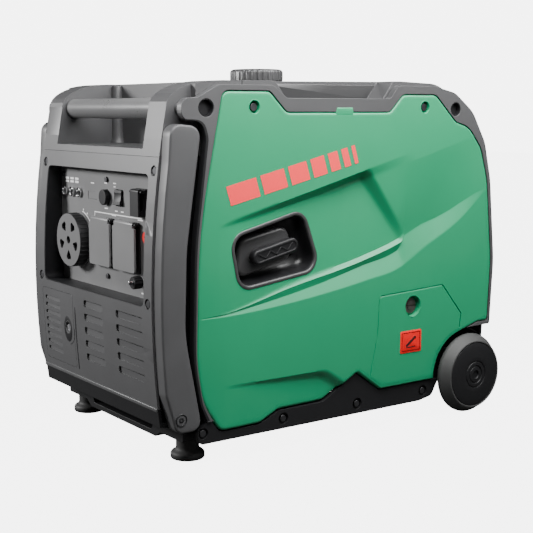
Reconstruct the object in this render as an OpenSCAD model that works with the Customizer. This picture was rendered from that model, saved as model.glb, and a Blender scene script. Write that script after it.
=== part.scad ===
// Closed-case inverter generator on two wheels and two feet.
// +Z is up, the control panel faces -Y and the starter side faces +X.

/* [Case] */
// Half width over the coloured side panels
case_half = 208; // [206:1:210]
// Thickness of the moulded covers
wall = 4; // [3:0.5:4]
// Foremost point of the bowed front
front_y0 = -325; // [-327:1:-324]
// Height of the foremost point of the bowed front
bow_z = 231; // [225:1:240]
// Half width of the front panel between the corner covers
front_half = 184; // [182:1:185]
// Height of the joint between front panel and handle cowl
cowl_joint_z = 437; // [435:1:440]
// Highest flat part of the case
case_top = 541; // [539:1:543]

/* [Wheels and feet] */
// Outside radius of a tyre
tyre_r = 66; // [64:1:67]
// Position of the axle along the case
axle_y = 259; // [257:1:261]
// Radius of the steel axle
axle_r = 6; // [5:0.5:7]
// Outside face of a wheel, from the middle
wheel_out = 236; // [235:1:240]
// Diameter of a rubber foot
foot_d = 50; // [46:1:52]
// Foot position, from the middle
foot_x = 157; // [150:1:160]
// Foot position along the case
foot_y = -253; // [-256:1:-250]

/* [Handle] */
// Diameter of the hand grip
grip_d = 30; // [28:1:32]
// Diameter of the steel tube inside the grip
tube_d = 16; // [14:1:18]
// Height of the handle axis
handle_z = 502; // [500:1:504]
// Position of the handle axis along the case
handle_y = -277; // [-279:1:-275]
// Half width of the hand recess
recess_half = 137; // [130:1:140]
// Floor of the hand recess
recess_floor = 447; // [445:1:450]

/* [Fuel cap] */
// Diameter of the fuel cap
cap_d = 86; // [80:1:90]
// Top of the fuel cap
cap_top = 565; // [563:1:567]
// Position of the fuel cap along the case
cap_y = -19; // [-22:1:-16]

/* [Control panel] */
// Face of the control plate
plate_y = -291; // [-292:1:-290]
// Diameter of the engine dial
dial_d = 83; // [78:1:84]
// Dial centre, across
dial_x = -98; // [-99:1:-97]
// Dial centre, height
dial_z = 298; // [297:1:299]

/* [Starter] */
// Radius of the starter pulley
pulley_r = 32; // [30:1:34]
// Crankshaft position along the case
crank_y = -40; // [-44:1:-36]
// Crankshaft height
crank_z = 225; // [222:1:228]

/* [Hidden] */
$fn = 48;

case_grey = [0.30, 0.30, 0.30];
black = [0.08, 0.08, 0.08];
green = [0.16, 0.55, 0.38];
steel = [0.70, 0.70, 0.72];
iron = [0.42, 0.43, 0.44];
red = [0.85, 0.10, 0.10];

gap = 0.6;            // between fixed neighbours
arc_steps = 6;        // flats in one rounded corner
axle_z = tyre_r;      // the tyres stand on z = 0
frame_in = 196;       // inner face of the side frames
bow = 0.00036;        // curvature of the bowed front
cowl_half = 184;      // half width of the handle cowl
cowl_back = -182;     // joint between handle cowl and top cover
recess_back = -198;   // rear wall of the hand recess
running = 0.05;       // radial clearance of a running fit

// ---- outline helpers -------------------------------------------------------
function unit(v) = v / norm(v);
function turned(v, w) = [v[0] * cos(w) - v[1] * sin(w), v[0] * sin(w) + v[1] * cos(w)];
function at(pts, i) = pts[(i + len(pts)) % len(pts)];
function flat(p) = [p[0], p[1]];

// The corner q = [a, b, radius] between its neighbours p and s, as points of an arc
function corner(p, q, s) =
    q[2] == 0 ? [flat(q)] :
    let (
        a = unit(flat(p) - flat(q)),
        b = unit(flat(s) - flat(q)),
        opening = acos(a * b),
        centre = flat(q) + unit(a + b) * q[2] / sin(opening / 2),
        start = flat(q) + a * q[2] / tan(opening / 2) - centre,
        sweep = (cross(a, b) > 0 ? -1 : 1) * (180 - opening)
    )
    [for (i = [0:arc_steps]) centre + turned(start, sweep * i / arc_steps)];

function rounded(pts) =
    [for (i = [0:len(pts) - 1]) each corner(at(pts, i - 1), pts[i], at(pts, i + 1))];

// The same anticlockwise outline moved inwards by d, corner radii included
function inset(pts, d) = [
    for (i = [0:len(pts) - 1])
    let (
        q = flat(pts[i]),
        u = unit(q - flat(at(pts, i - 1))),
        v = unit(flat(at(pts, i + 1)) - q),
        nu = [-u[1], u[0]],
        nv = [-v[1], v[0]],
        m = q + d * (nu + nv) / (1 + nu * nv),
        r = pts[i][2]
    )
    [m[0], m[1], r == 0 ? 0 : max(0.5, r + (cross(u, v) > 0 ? -d : d))]
];

function box_outline(a0, b0, a1, b1, r) = [[a0, b0, r], [a1, b0, r], [a1, b1, r], [a0, b1, r]];

// Extrusions named by the direction they run in; the outline keeps its natural axes
module along_x(x0, x1) {
    translate([x0, 0, 0]) rotate([90, 0, 90]) linear_extrude(x1 - x0) children();
}
module along_y(y0, y1) {
    translate([0, y1, 0]) rotate([90, 0, 0]) linear_extrude(y1 - y0) children();
}
module along_z(z0, z1) {
    translate([0, 0, z0]) linear_extrude(z1 - z0) children();
}
module rod_x(x0, x1, y, z, r) {
    translate([x0, y, z]) rotate([0, 90, 0]) cylinder(h = x1 - x0, r = r);
}
module rod_y(y0, y1, x, z, r) {
    translate([x, y0, z]) rotate([-90, 0, 0]) cylinder(h = y1 - y0, r = r);
}
module rod_z(z0, z1, x, y, r) {
    translate([x, y, z0]) cylinder(h = z1 - z0, r = r);
}
module block(low, high) {
    translate(low) cube(high - low);
}
module both_sides() {
    children();
    mirror([1, 0, 0]) children();
}

// ---- case outlines ---------------------------------------------------------
function front_y(z) = front_y0 + bow * pow(z - bow_z, 2);

arch_r = 70;          // wheel arch in the side panel
side_outline = concat(
    [
        [-229, 46, 16], [-158, 46, 16], [-124, 61, 14], [-40, 61, 30], [24, 97, 3],
        [72, 63, 5], [axle_y - arch_r + 0.1, 63, 0]
    ],
    [for (w = [174:-9:102]) [axle_y + arch_r * cos(w), axle_z + arch_r * sin(w), 0]],
    [
        [289, 147, 20], [313, 147, 3], [318, 250, 250], [304, 385, 150], [288, 437, 50],
        [258, 473, 45], [228, 481, 20], [182, 524, 18], [112, 524, 14], [85, 497, 14],
        [-112, 497, 14], [-142, 527, 14], [-222, 527, 13], [-262, 332, 900],
        [-267, 150, 260], [-257, 90, 100]
    ]
);

frame_outline = concat(
    [[-250, 63, 0], [-238, 63, 0], [-238, 100, 0], [200, 100, 0]],
    [for (w = [150:-10:90]) [axle_y + 74 * cos(w), axle_z + 74 * sin(w), 0]],
    [
        [300, 141, 10], [318, 141, 4], [324, 250, 250], [311, 385, 150], [296, 447, 60],
        [266, 497, 60], [225, 527, 40], [180, 537, 40], [102, 537, 12], [86, 517, 10],
        [-112, 517, 10], [-136, 535, 12], [-228, 535, 30], [-262, 517, 8], [-288, 516, 13],
        [-289, 487, 13], [-256, 485, 16], [-249, 462, 30], [-269, 310, 600],
        [-273, 150, 250], [-262, 90, 60]
    ]
);

hatch_outline = concat(
    [[73, 64, 0], [axle_y - arch_r - 0.9, 64, 0]],
    [for (w = [174:-9:102]) [axle_y + (arch_r + 1) * cos(w), axle_z + (arch_r + 1) * sin(w), 0]],
    [[249, 166, 4], [203, 219, 4], [66, 213, 7], [63, 150, 0], [48.5, 81.4, 0]]
);

// Recess pressed into the starter side, the starter opening and its bezel
pocket_outline = [[-222, 325, 3], [-70, 262, 3], [151, 322, 14], [121, 424, 10], [-32, 377, 60]];

sill_outline = [
    [-262, 31, 8], [160, 30, 30], [188, 35, 12], [203, 61.4, 0], [72, 61.4, 5],
    [24, 95.4, 3], [-40, 59.4, 30], [-124, 59.4, 14], [-158, 44.4, 16], [-229, 44.4, 16],
    [-241, 62, 0], [-251, 62, 0], [-266, 48, 6]
];

bezel_ring = [[-42, 262, 26], [-74, 357, 26], [-213, 325, 26], [-197, 243, 26]];

// Side view of the handle cowl, moved inwards by w, from its foot at height low
crown_y = -213;       // where the cowl's crown becomes level
crown_z = 505;        // where the crown begins to turn
function crown(w) = [
    for (t = [0:10:90])
    [crown_y - (crown_y - front_y(crown_z) - w) * cos(t), crown_z + (case_top - crown_z - w) * sin(t)]
];
function cowl_region(w, low, back) = concat(
    [for (z = [low:12:crown_z - 6]) [front_y(z) + w, z]],
    crown(w),
    [[back, case_top - w], [back, low]]
);

// Lower part of the bowed front between two heights, as a band w thick
function front_band(low, high, w) = concat(
    [for (i = [0:16]) let (z = low + (high - low) * i / 16) [front_y(z), z]],
    [for (i = [16:-1:0]) let (z = low + (high - low) * i / 16) [front_y(z) + w, z]]
);

// ---- chassis ---------------------------------------------------------------
tray_top = 36;
step_y = 172;         // the tray steps up over the axle behind this line
step_z = 104;

module base_tray() {
    color(black) {
        both_sides() {
            difference() {
                along_x(frame_in + gap, case_half - 3) polygon(rounded(sill_outline));
                for (y = [-115, 28, 168]) {
                    rod_x(case_half - 7, case_half, y, 46, 9);
                }
                rod_x(case_half - 7, case_half, -256, 47, 8);
            }
        }
        difference() {
            block([-frame_in - gap, -233.4, 31], [frame_in + gap, step_y, tray_top]);
            for (x = [-90, 0, 90]) {
                along_z(30, 40) polygon(rounded(box_outline(x - 30, 60, x + 30, 120, 6)));
            }
        }
        block([-frame_in, step_y - 4, tray_top - 1], [frame_in, step_y, step_z + 4]);
        block([-frame_in, step_y - 1, step_z], [frame_in, 308, step_z + 4]);
        for (x = [-60, 70]) {
            for (y = [-70, 60]) {
                rod_z(tray_top - 0.5, 60, x, y, 14);
            }
        }
    }
}

module front_crossmember() {
    color(black) {
        along_y(-276, -234) polygon(rounded([
            [-182, 46, 4], [-182, 31, 4], [-118, 31, 6], [-104, 22, 6], [104, 22, 6],
            [118, 31, 6], [182, 31, 4], [182, 46, 4], [100, 46, 0], [92, 30.5, 5],
            [-92, 30.5, 5], [-100, 46, 0]
        ]));
        block([-176, -268, 46], [-130, -262.6, 60]);
        block([130, -268, 46], [176, -262.6, 60]);
    }
}

module front_skirt() {
    color(black) difference() {
        along_x(-front_half + gap, front_half - gap) polygon([
            [front_y(86) + 0.5, 86], [front_y(86) + 4, 60], [-268.6, 52], [-268.6, 58],
            [front_y(86) + 9, 66], [front_y(86) + 6, 86]
        ]);
        block([-60, -300, 40], [60, -280, 62]);
    }
}

module feet() {
    color(black) both_sides() translate([foot_x, foot_y, 0]) difference() {
        rotate_extrude() polygon([
            [0, 0], [foot_d / 2 - 2, 0], [foot_d / 2, 2], [foot_d / 2, 9], [foot_d / 2 - 3, 12],
            [17, 15], [17, 31], [0, 31]
        ]);
        rod_z(22, 32, 0, 0, 5);
    }
}
// Walls at the bottom of the dark channels beside the corner covers
module channel_liners() {
    color(black) both_sides() along_x(front_half - wall, front_half - 0.2) {
        polygon([[-297, 64], [-215, 64], [-215, cowl_joint_z - 1], [-303, cowl_joint_z - 1]]);
    }
}

// ---- wheels ----------------------------------------------------------------
tyre_in = 210;
module axle() {
    color(steel) rod_x(-wheel_out + 5, wheel_out - 5, axle_y, axle_z, axle_r);
}
module axle_brackets() {
    color(black) both_sides() difference() {
        along_x(180, 186) polygon(rounded([
            [axle_y - 34, step_z, 0], [axle_y - 14, axle_z - 14, 12], [axle_y + 14, axle_z - 14, 12],
            [axle_y + 34, step_z, 0]
        ]));
        rod_x(170, 190, axle_y, axle_z, axle_r + running);
    }
}
module tyre() {
    color(black) translate([0, axle_y, axle_z]) rotate([0, 90, 0]) rotate_extrude($fn = 96) polygon([
        [50, tyre_in], [tyre_r - 5, tyre_in], [tyre_r - 1.5, tyre_in + 1.6], [tyre_r, tyre_in + 5],
        [tyre_r, tyre_in + 8], [tyre_r - 1, tyre_in + 11], [56, wheel_out - 2.4], [54, wheel_out - 2],
        [53, wheel_out - 6], [50, wheel_out - 6]
    ]);
}
module tyre_right() {
    tyre();
}
module tyre_left() {
    mirror([1, 0, 0]) tyre();
}
module wheel_disc() {
    color(black) translate([0, axle_y, axle_z]) rotate([0, 90, 0]) rotate_extrude($fn = 96) polygon([
        [axle_r + running, tyre_in - 8], [14, tyre_in - 8], [14, tyre_in + 6], [49.9, tyre_in + 6],
        [49.9, wheel_out - 6], [52.9, wheel_out - 6], [53.5, wheel_out - 3], [22, wheel_out - 0.4],
        [21, wheel_out - 2], [16, wheel_out - 2], [15, wheel_out], [0, wheel_out],
        [0, wheel_out - 4.5], [axle_r + running, wheel_out - 4.5]
    ]);
}
module wheel_disc_right() {
    wheel_disc();
}
module wheel_disc_left() {
    mirror([1, 0, 0]) wheel_disc();
}

// ---- side panels and frames ------------------------------------------------
screw_top = [[-169, 504], [158, 504]];
module side_panel(hatch_and_starter) {
    color(green) difference() {
        union() {
            difference() {
                along_x(frame_in + 2, case_half) polygon(rounded(inset(side_outline, gap)));
                along_x(frame_in + 1, case_half - wall) {
                    polygon(rounded(inset(side_outline, gap + wall)));
                }
            }
            if (hatch_and_starter) {
                along_x(frame_in + 2, case_half - 1) difference() {
                    polygon(rounded(inset(pocket_outline, -3)));
                    polygon(rounded(bezel_ring));
                }
            }
            for (p = screw_top) {
                rod_x(frame_in + 2, case_half - 1, p[0], p[1], 13);
            }
        }
        if (hatch_and_starter) {
            along_x(case_half - 5, case_half + 1) polygon(rounded(pocket_outline));
            along_x(frame_in, case_half + 1) polygon(rounded(bezel_ring));
            along_x(frame_in, case_half + 1) polygon(rounded(inset(hatch_outline, -gap)));
        }
        for (p = screw_top) {
            rod_x(case_half - 6, case_half + 1, p[0], p[1], 10);
            rod_x(frame_in, case_half + 1, p[0], p[1], 3.2);
        }
    }
}
module side_panel_right() {
    side_panel(true);
}
module side_panel_left() {
    mirror([1, 0, 0]) side_panel(false);
}

module side_frame() {
    color(case_grey) difference() {
        along_x(frame_in, case_half) polygon(rounded(frame_outline));
        along_x(frame_in - 1, case_half + 1) polygon(rounded(inset(side_outline, -0.2)));
        rod_x(case_half - 9, case_half + 1, -249, 503, 12.5);
        rod_x(case_half - 9, case_half + 1, 226, 501, 11);
        rod_x(frame_in - 1, case_half - 4, handle_y, handle_z, tube_d / 2);
        block([frame_in - 1, -236, 60], [case_half + 1, 200.5, 110]);
    }
}
module side_frame_right() {
    side_frame();
}
module side_frame_left() {
    mirror([1, 0, 0]) side_frame();
}

// ---- front corner covers ---------------------------------------------------
cheek_outline = concat(
    [[-300, 53, 12], [-258, 53, 12], [-264, 88, 40], [-284, 190, 200], [-280, 310, 300], [-255, 478, 16],
     [-304, 483, 16]],
    [for (z = [430:-40:110]) [front_y(z) + 3, z, 0]]
);
module corner_cover() {
    color(case_grey) difference() {
        along_x(front_half + gap, case_half - 1) polygon(rounded(cheek_outline));
        along_x(front_half - 1, case_half - 1 - wall) polygon(rounded(inset(cheek_outline, wall)));
        rod_x(case_half - 6, case_half + 1, -293, 73, 8.5);
    }
}
module corner_cover_right() {
    corner_cover();
}
module corner_cover_left() {
    mirror([1, 0, 0]) corner_cover();
}

// ---- front panel -----------------------------------------------------------
window = [-162, 229, 162, 413];
window_outline = box_outline(window[0], window[1], window[2], window[3], 10);
door = [-170, 100, -63, 216];
slot_h = 11;
module slot(x0, x1, z) {
    along_y(-340, -280) polygon(rounded(box_outline(x0, z, x1, z + slot_h, 4)));
}
module front_panel() {
    color(case_grey) difference() {
        union() {
            along_x(-front_half, front_half) polygon(front_band(86.6, cowl_joint_z - 0.4, wall));
            along_y(-332, plate_y - 0.1) difference() {
                polygon(rounded(inset(window_outline, -3)));
                polygon(rounded(window_outline));
            }
        }
        along_x(-front_half - 1, front_half + 1) polygon(concat(
            [for (z = [80:15:440]) [front_y(z), z]], [[-345, 440], [-345, 80]]
        ));
        along_y(-340, -300) polygon(rounded(window_outline));
        along_y(-340, -300) {
            polygon(rounded(box_outline(door[0] - gap, door[1] - gap, door[2] + gap, door[3] + gap, 6)));
        }
        for (i = [0:4]) {
            slot(-24, 38, 120 + i * 20.7);
            slot(79, 158, 120 + i * 20.7);
        }
        for (s = [-1, 1]) {
            rod_y(-335, front_y(418) + 3, s * 173, 418, 7.5);
            rod_y(-335, front_y(231) + 3, s * 173, 235, 7.5);
        }
    }
}

module battery_door() {
    color(case_grey) difference() {
        intersection() {
            along_x(door[0], door[2]) polygon(front_band(door[1], door[3], wall));
            along_y(-340, -290) polygon(rounded(box_outline(door[0], door[1], door[2], door[3], 5.5)));
        }
        for (i = [0:7]) {
            low = door[1] + 14 + i * 12;
            along_y(-340, -290) polygon(rounded(box_outline(door[0] + 9, low, -108, low + 6, 2.5)));
        }
        rod_y(-340, -290, -83, 163, 8.05);
    }
}
module battery_latch() {
    color(steel) difference() {
        union() {
            rod_y(front_y(163) + 2, front_y(163) + 16, -83, 163, 8);
            rod_y(front_y(163) + wall + 1, front_y(163) + 9, -83, 163, 10);
        }
        block([-84.5, -340, 156.5], [-81.5, front_y(163) + 4.5, 169.5]);
    }
}

// ---- handle and top --------------------------------------------------------
shoulder_y = -258;    // the cowl widens to the side frames behind this line
module top_cowl() {
    color(case_grey) difference() {
        union() {
            difference() {
                along_x(-cowl_half, cowl_half) polygon(cowl_region(0, cowl_joint_z, cowl_back));
                along_x(-cowl_half + wall, cowl_half - wall) {
                    polygon(cowl_region(wall, cowl_joint_z - 12, -150));
                }
            }
            both_sides() along_x(cowl_half - wall, frame_in - gap) difference() {
                intersection() {
                    polygon(cowl_region(0, cowl_joint_z, cowl_back));
                    translate([shoulder_y, 506]) square([200, 60]);
                }
                intersection() {
                    polygon(cowl_region(wall, cowl_joint_z, -150));
                    translate([shoulder_y + wall, 500]) square([200, 60]);
                }
            }
            both_sides() along_x(frame_in - gap - wall, frame_in - gap) intersection() {
                polygon(cowl_region(0, cowl_joint_z, cowl_back));
                translate([shoulder_y, 506]) square([200, 60]);
            }
            along_x(-recess_half - wall, recess_half + wall) intersection() {
                polygon(cowl_region(0, cowl_joint_z, cowl_back));
                translate([-340, recess_floor - wall]) square([340 + recess_back + wall, 140]);
            }
        }
        along_x(-recess_half, recess_half) translate([-345, recess_floor]) square([345 + recess_back, 140]);
        rod_x(-cowl_half - 1, cowl_half + 1, handle_y, handle_z, tube_d / 2 + 0.3);
    }
}
module handle_tube() {
    color(case_grey) difference() {
        rod_x(-case_half + 4.2, case_half - 4.2, handle_y, handle_z, tube_d / 2);
        rod_x(-case_half, case_half, handle_y, handle_z, tube_d / 2 - 2);
    }
}
module handle_grip() {
    color(case_grey) difference() {
        rod_x(-recess_half + gap, recess_half - gap, handle_y, handle_z, grip_d / 2);
        rod_x(-recess_half - 1, recess_half + 1, handle_y, handle_z, tube_d / 2);
    }
}

notch = [-104, 80];   // hand notch in the top cover, along the case
notch_in = 158;       // inner wall of the hand notch
cover_end_z = 452;
top_outline = [
    [cowl_back + gap, case_top - 30, 0], [cowl_back + gap + 0.5, case_top, 0], [118, 544, 200],
    [196, 541, 60], [258, 503, 60], [298, cover_end_z, 0]
];
module top_cover() {
    color(case_grey) difference() {
        union() {
            along_x(-frame_in + gap, frame_in - gap) polygon(concat(
                rounded([top_outline[0], top_outline[1], top_outline[2], top_outline[3], top_outline[4],
                    top_outline[5], [298 - wall, cover_end_z, 0], [258 - 3, 503 - 4, 56],
                    [194, 541 - wall, 56],
                    [118, 544 - wall, 196], [cowl_back + gap + wall, case_top - wall, 0],
                    [cowl_back + gap + wall, case_top - 30, 0]])
            ));
            both_sides() difference() {
                along_x(notch_in - wall, frame_in - gap) {
                    polygon(rounded([[notch[0] - wall, 512, 0], [notch[1] + wall, 512, 0],
                        [notch[1] + 30, 541, 0], [notch[0] - 30, 541, 0]]));
                }
            }
            both_sides() along_x(frame_in - gap - wall, frame_in - gap) {
                polygon(rounded(concat(top_outline, [[280, cover_end_z, 0], [244, 486, 40],
                    [186, case_top - 30, 40]])));
            }
            rod_z(530, 542, 0, cap_y, cap_d / 2 + 14);
        }
        both_sides() along_x(notch_in, frame_in + 1) polygon([
            [notch[0], 516], [notch[1], 516], [notch[1] + 26, 550], [notch[0] - 26, 550]
        ]);
        rod_z(538, 560, 0, cap_y, cap_d / 2 + 8);
        rod_z(500, 560, 0, cap_y, 27.5);
    }
}

rear_y = 320;
module rear_cover() {
    color(case_grey) difference() {
        along_x(-frame_in + gap, frame_in - gap) polygon(concat(
            rounded([[312, 108.6, 0], [rear_y, 240, 300], [309, 385, 150], [298 + 1, cover_end_z - gap, 0],
                [298 - wall + 1, cover_end_z - gap, 0], [305, 385, 150], [rear_y - wall, 240, 300],
                [312 - wall, 108.6, 0]])
        ));
        for (i = [0:11]) {
            for (x = [-150, -50, 50]) {
                low = 250 + i * 15;
                along_y(280, 340) polygon(rounded(box_outline(x - 38, low, x + 38, low + 7, 3)));
            }
        }
        rod_y(280, 340, 118, 190, 34);
        for (x = [-178, 178]) {
            for (z = [130, 420]) {
                rod_y(290, 340, x, z, 3.2);
            }
        }
    }
}
module exhaust_outlet() {
    color(iron) difference() {
        union() {
            rod_y(298, 321, 118, 190, 33);
            rod_y(262, 299, 118, 190, 14);
        }
        rod_y(302, 322, 118, 190, 30);
        rod_y(250, 305, 118, 190, 11);
    }
}

// ---- control panel ---------------------------------------------------------
module control_plate() {
    color(case_grey) difference() {
        union() {
            along_y(plate_y, plate_y + 3) {
                polygon(rounded(inset(window_outline, -2.4)));
            }
            rod_y(plate_y - 3, plate_y + 2, dial_x, dial_z, dial_d / 2 + 2);
        }
        rod_y(plate_y - 5, plate_y + 5, dial_x, dial_z, 8.05);
        for (x = [-146, -120.5, -95]) {
            rod_y(plate_y - 1, plate_y + 5, x, 372, 5);
        }
        block([-68, plate_y - 1, 364], [-39, plate_y + 5, 376]);
        rod_y(plate_y - 1, plate_y + 5, -6, 370, 12);
        block([22.5, plate_y - 1, 358.5], [45.5, plate_y + 5, 383.5]);
        block([86, plate_y - 1, 349], [122, plate_y + 5, 389]);
        rod_y(plate_y - 1, plate_y + 5, -13.5, 300, 24);
        rod_y(plate_y - 1, plate_y + 5, 62.5, 300, 24);
        for (x = [118, 142]) {
            rod_y(plate_y - 1, plate_y + 5, x, 320, 6);
        }
        rod_y(plate_y - 1, plate_y + 5, 100, 254, 3);
    }
}
dial_face = plate_y - 21;
module engine_dial() {
    color(black) difference() {
        union() {
            rod_y(dial_face, plate_y - 3.5, dial_x, dial_z, dial_d / 2);
            rod_y(plate_y - 4, plate_y + 12, dial_x, dial_z, 8);
            translate([dial_x, plate_y - 4, dial_z]) {
                for (i = [0:35]) {
                    rotate([0, i * 10, 0]) rod_y(-15, -1, dial_d / 2 - 0.4, 0, 1.2);
                }
            }
        }
        for (i = [0:4]) {
            translate([dial_x, dial_face - 1, dial_z]) rotate([0, 36 + i * 72, 0]) along_y(0, 7) {
                polygon(rounded([[0, 15, 2], [11, 31, 4], [-11, 31, 4]]));
            }
        }
        rod_y(dial_face - 1, dial_face + 5, dial_x, dial_z, 6);
    }
}
module indicator_lamps() {
    color(steel) for (x = [-146, -120.5, -95]) {
        difference() {
            union() {
                rod_y(plate_y - 4, plate_y - 0.1, x, 372, 7.5);
                rod_y(plate_y - 0.2, plate_y + 10, x, 372, 4.9);
            }
            rod_y(plate_y - 5, plate_y - 2, x, 372, 5.5);
        }
    }
}
module display_window() {
    color(black) block([-67.8, plate_y + 0.6, 364.2], [-39.2, plate_y + 8, 375.8]);
}
module start_button() {
    color(black) {
        rod_y(plate_y - 8, plate_y + 10, -6, 370, 11.7);
    }
}
module rocker_switch() {
    color(black) translate([34, plate_y + 2, 371]) rotate([-9, 0, 0]) difference() {
        block([-11, -6.5, -11.2], [11, 7, 11.2]);
        rod_x(-12, 12, -30.5, 0, 25);
    }
}
hinge_r = 2;
dc_hinge_y = plate_y - 10.6;
module dc_outlet() {
    color(black) difference() {
        union() {
            block([86.3, plate_y - 6, 349.3], [121.7, plate_y + 25, 388.7]);
            rod_x(87, 121, dc_hinge_y, 385, hinge_r);
            block([87, dc_hinge_y, 383], [91, plate_y - 5.9, 387]);
            block([117, dc_hinge_y, 383], [121, plate_y - 5.9, 387]);
        }
        rod_y(plate_y - 7, plate_y + 15, 104, 366, 11);
    }
}
module dc_cover() {
    color(black) difference() {
        union() {
            block([92, dc_hinge_y - 4, 350], [116, dc_hinge_y - 1, 385]);
            rod_x(92, 116, dc_hinge_y, 385, hinge_r + 2);
        }
        rod_x(91, 117, dc_hinge_y, 385, hinge_r + running);
    }
}
cover_w = 68;
cover_x = [-13.5, 62.5];
cover_hinge_z = 336;
cover_hinge_y = plate_y - 7;
module mains_outlets() {
    color(black) for (x = cover_x) {
        difference() {
            union() {
                along_y(plate_y - 2.6, plate_y - 0.2) {
                    polygon(rounded(box_outline(x - cover_w / 2, 264, x + cover_w / 2, 339, 5)));
                }
                rod_y(plate_y - 1, plate_y + 32, x, 300, 23.7);
                rod_x(x - 33, x + 33, cover_hinge_y, cover_hinge_z, hinge_r);
                for (s = [-1, 1]) {
                    translate([x + s * 31, 0, cover_hinge_z]) {
                        block([-2, cover_hinge_y - 1, -2], [2, plate_y - 2.5, 2]);
                    }
                }
            }
            rod_y(plate_y - 5, plate_y + 15, x, 300, 20);
            for (s = [-1, 1]) {
                rod_y(plate_y + 14, plate_y + 28, x + s * 9.5, 300, 2.4);
            }
        }
    }
}
module outlet_cover(x) {
    color(case_grey) difference() {
        union() {
            along_y(cover_hinge_y - 4, cover_hinge_y - 0.5) {
                half = cover_w / 2 - 1;
                polygon(rounded(box_outline(x - half, 266, x + half, cover_hinge_z, 4)));
            }
            rod_x(x - 28, x + 28, cover_hinge_y, cover_hinge_z, hinge_r + 2);
        }
        rod_x(x - 40, x + 40, cover_hinge_y, cover_hinge_z, hinge_r + running);
        for (s = [-1, 1]) {
            translate([x + s * 31, cover_hinge_y, cover_hinge_z]) block([-3, -5, -5], [3, 5, 5]);
        }
    }
}
module outlet_cover_left() {
    outlet_cover(cover_x[0]);
}
module outlet_cover_right() {
    outlet_cover(cover_x[1]);
}
module parallel_jacks() {
    color(red) for (x = [118, 142]) {
        difference() {
            union() {
                rod_y(plate_y - 5, plate_y - 0.1, x, 320, 8.5);
                rod_y(plate_y - 0.2, plate_y + 24, x, 320, 5.9);
            }
            rod_y(plate_y - 6, plate_y + 18, x, 320, 3);
        }
    }
}
module ground_stud() {
    color(steel) {
        rod_y(plate_y - 24, plate_y + 10, 100, 254, 2.95);
        rod_y(plate_y - 3, plate_y - 0.1, 100, 254, 7);
    }
}
module ground_nut() {
    color(black) difference() {
        union() {
            rod_y(plate_y - 17, plate_y - 3.4, 100, 254, 8.5);
            translate([100, plate_y, 254]) for (i = [0:11]) {
                rotate([0, i * 30, 0]) rod_y(-16, -4.5, 8.2, 0, 1.3);
            }
        }
        rod_y(plate_y - 20, plate_y, 100, 254, 2.95 + running);
    }
}

// ---- service hatch ---------------------------------------------------------
module service_hatch() {
    color(green) difference() {
        union() {
            along_x(case_half - wall, case_half) polygon(rounded(inset(hatch_outline, gap)));
            rod_x(frame_in + 3, case_half - 1, 138, 190, 20);
        }
        rod_x(case_half - 7, case_half + 1, 138, 190, 17);
        rod_x(frame_in, case_half + 1, 138, 190, 7.05);
    }
}
module hatch_latch() {
    color(steel) difference() {
        union() {
            rod_x(frame_in - 4, case_half - 3, 138, 190, 7);
            rod_x(case_half - 6.8, case_half - 4, 138, 190, 12);
        }
        block([case_half - 5.5, 126, 188.5], [case_half, 150, 191.5]);
    }
}

// ---- recoil starter --------------------------------------------------------
grip_y = -128;
grip_z = 297;
tilt = 13;            // slope of the starter opening
module recoil_bezel() {
    color(black) difference() {
        union() {
            along_x(case_half - 8, case_half - 1) polygon(rounded(inset(bezel_ring, 0.6)));
            along_x(case_half - 38, case_half - 8) polygon(rounded(inset(bezel_ring, 3)));
        }
        along_x(case_half - 35, case_half) polygon(rounded(inset(bezel_ring, 6)));
        rod_x(case_half - 40, case_half - 30, grip_y, grip_z, 4.5);
    }
}
module recoil_grip() {
    color(black) difference() {
        translate([0, grip_y, grip_z]) rotate([tilt, 0, 0]) {
            along_x(case_half - 17, case_half - 3) polygon(rounded(box_outline(-41, -11, 41, 11, 10.5)));
            along_x(case_half - 28, case_half - 16) polygon(rounded(box_outline(-14, -9, 14, 9, 6)));
        }
        rod_x(case_half - 30, case_half - 8, grip_y, grip_z, 2.5);
    }
}
rope_len = 130;
module recoil_rope() {
    color(black) rod_x(case_half - 8 - rope_len, case_half - 8.2, grip_y, grip_z, 2.2);
}
module recoil_housing() {
    color(black) difference() {
        union() {
            rod_x(140, 166, crank_y, crank_z, 76);
        }
        rod_x(136, 162, crank_y, crank_z, 72);
        for (i = [0:9]) {
            translate([0, crank_y, crank_z]) rotate([i * 36, 0, 0]) {
                along_x(150, 170) polygon(rounded(box_outline(42, -8, 66, 8, 4)));
            }
        }
    }
    color(steel) rod_x(148, 162.5, crank_y, crank_z, 6);
}
module recoil_pulley() {
    color(black) translate([0, crank_y, crank_z]) rotate([0, 90, 0]) rotate_extrude() polygon([
        [6 + running, 149], [pulley_r + 5, 149], [pulley_r + 5, 151], [pulley_r, 152],
        [pulley_r, 157], [pulley_r + 5, 158], [pulley_r + 5, 160], [6 + running, 160]
    ]);
}

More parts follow.
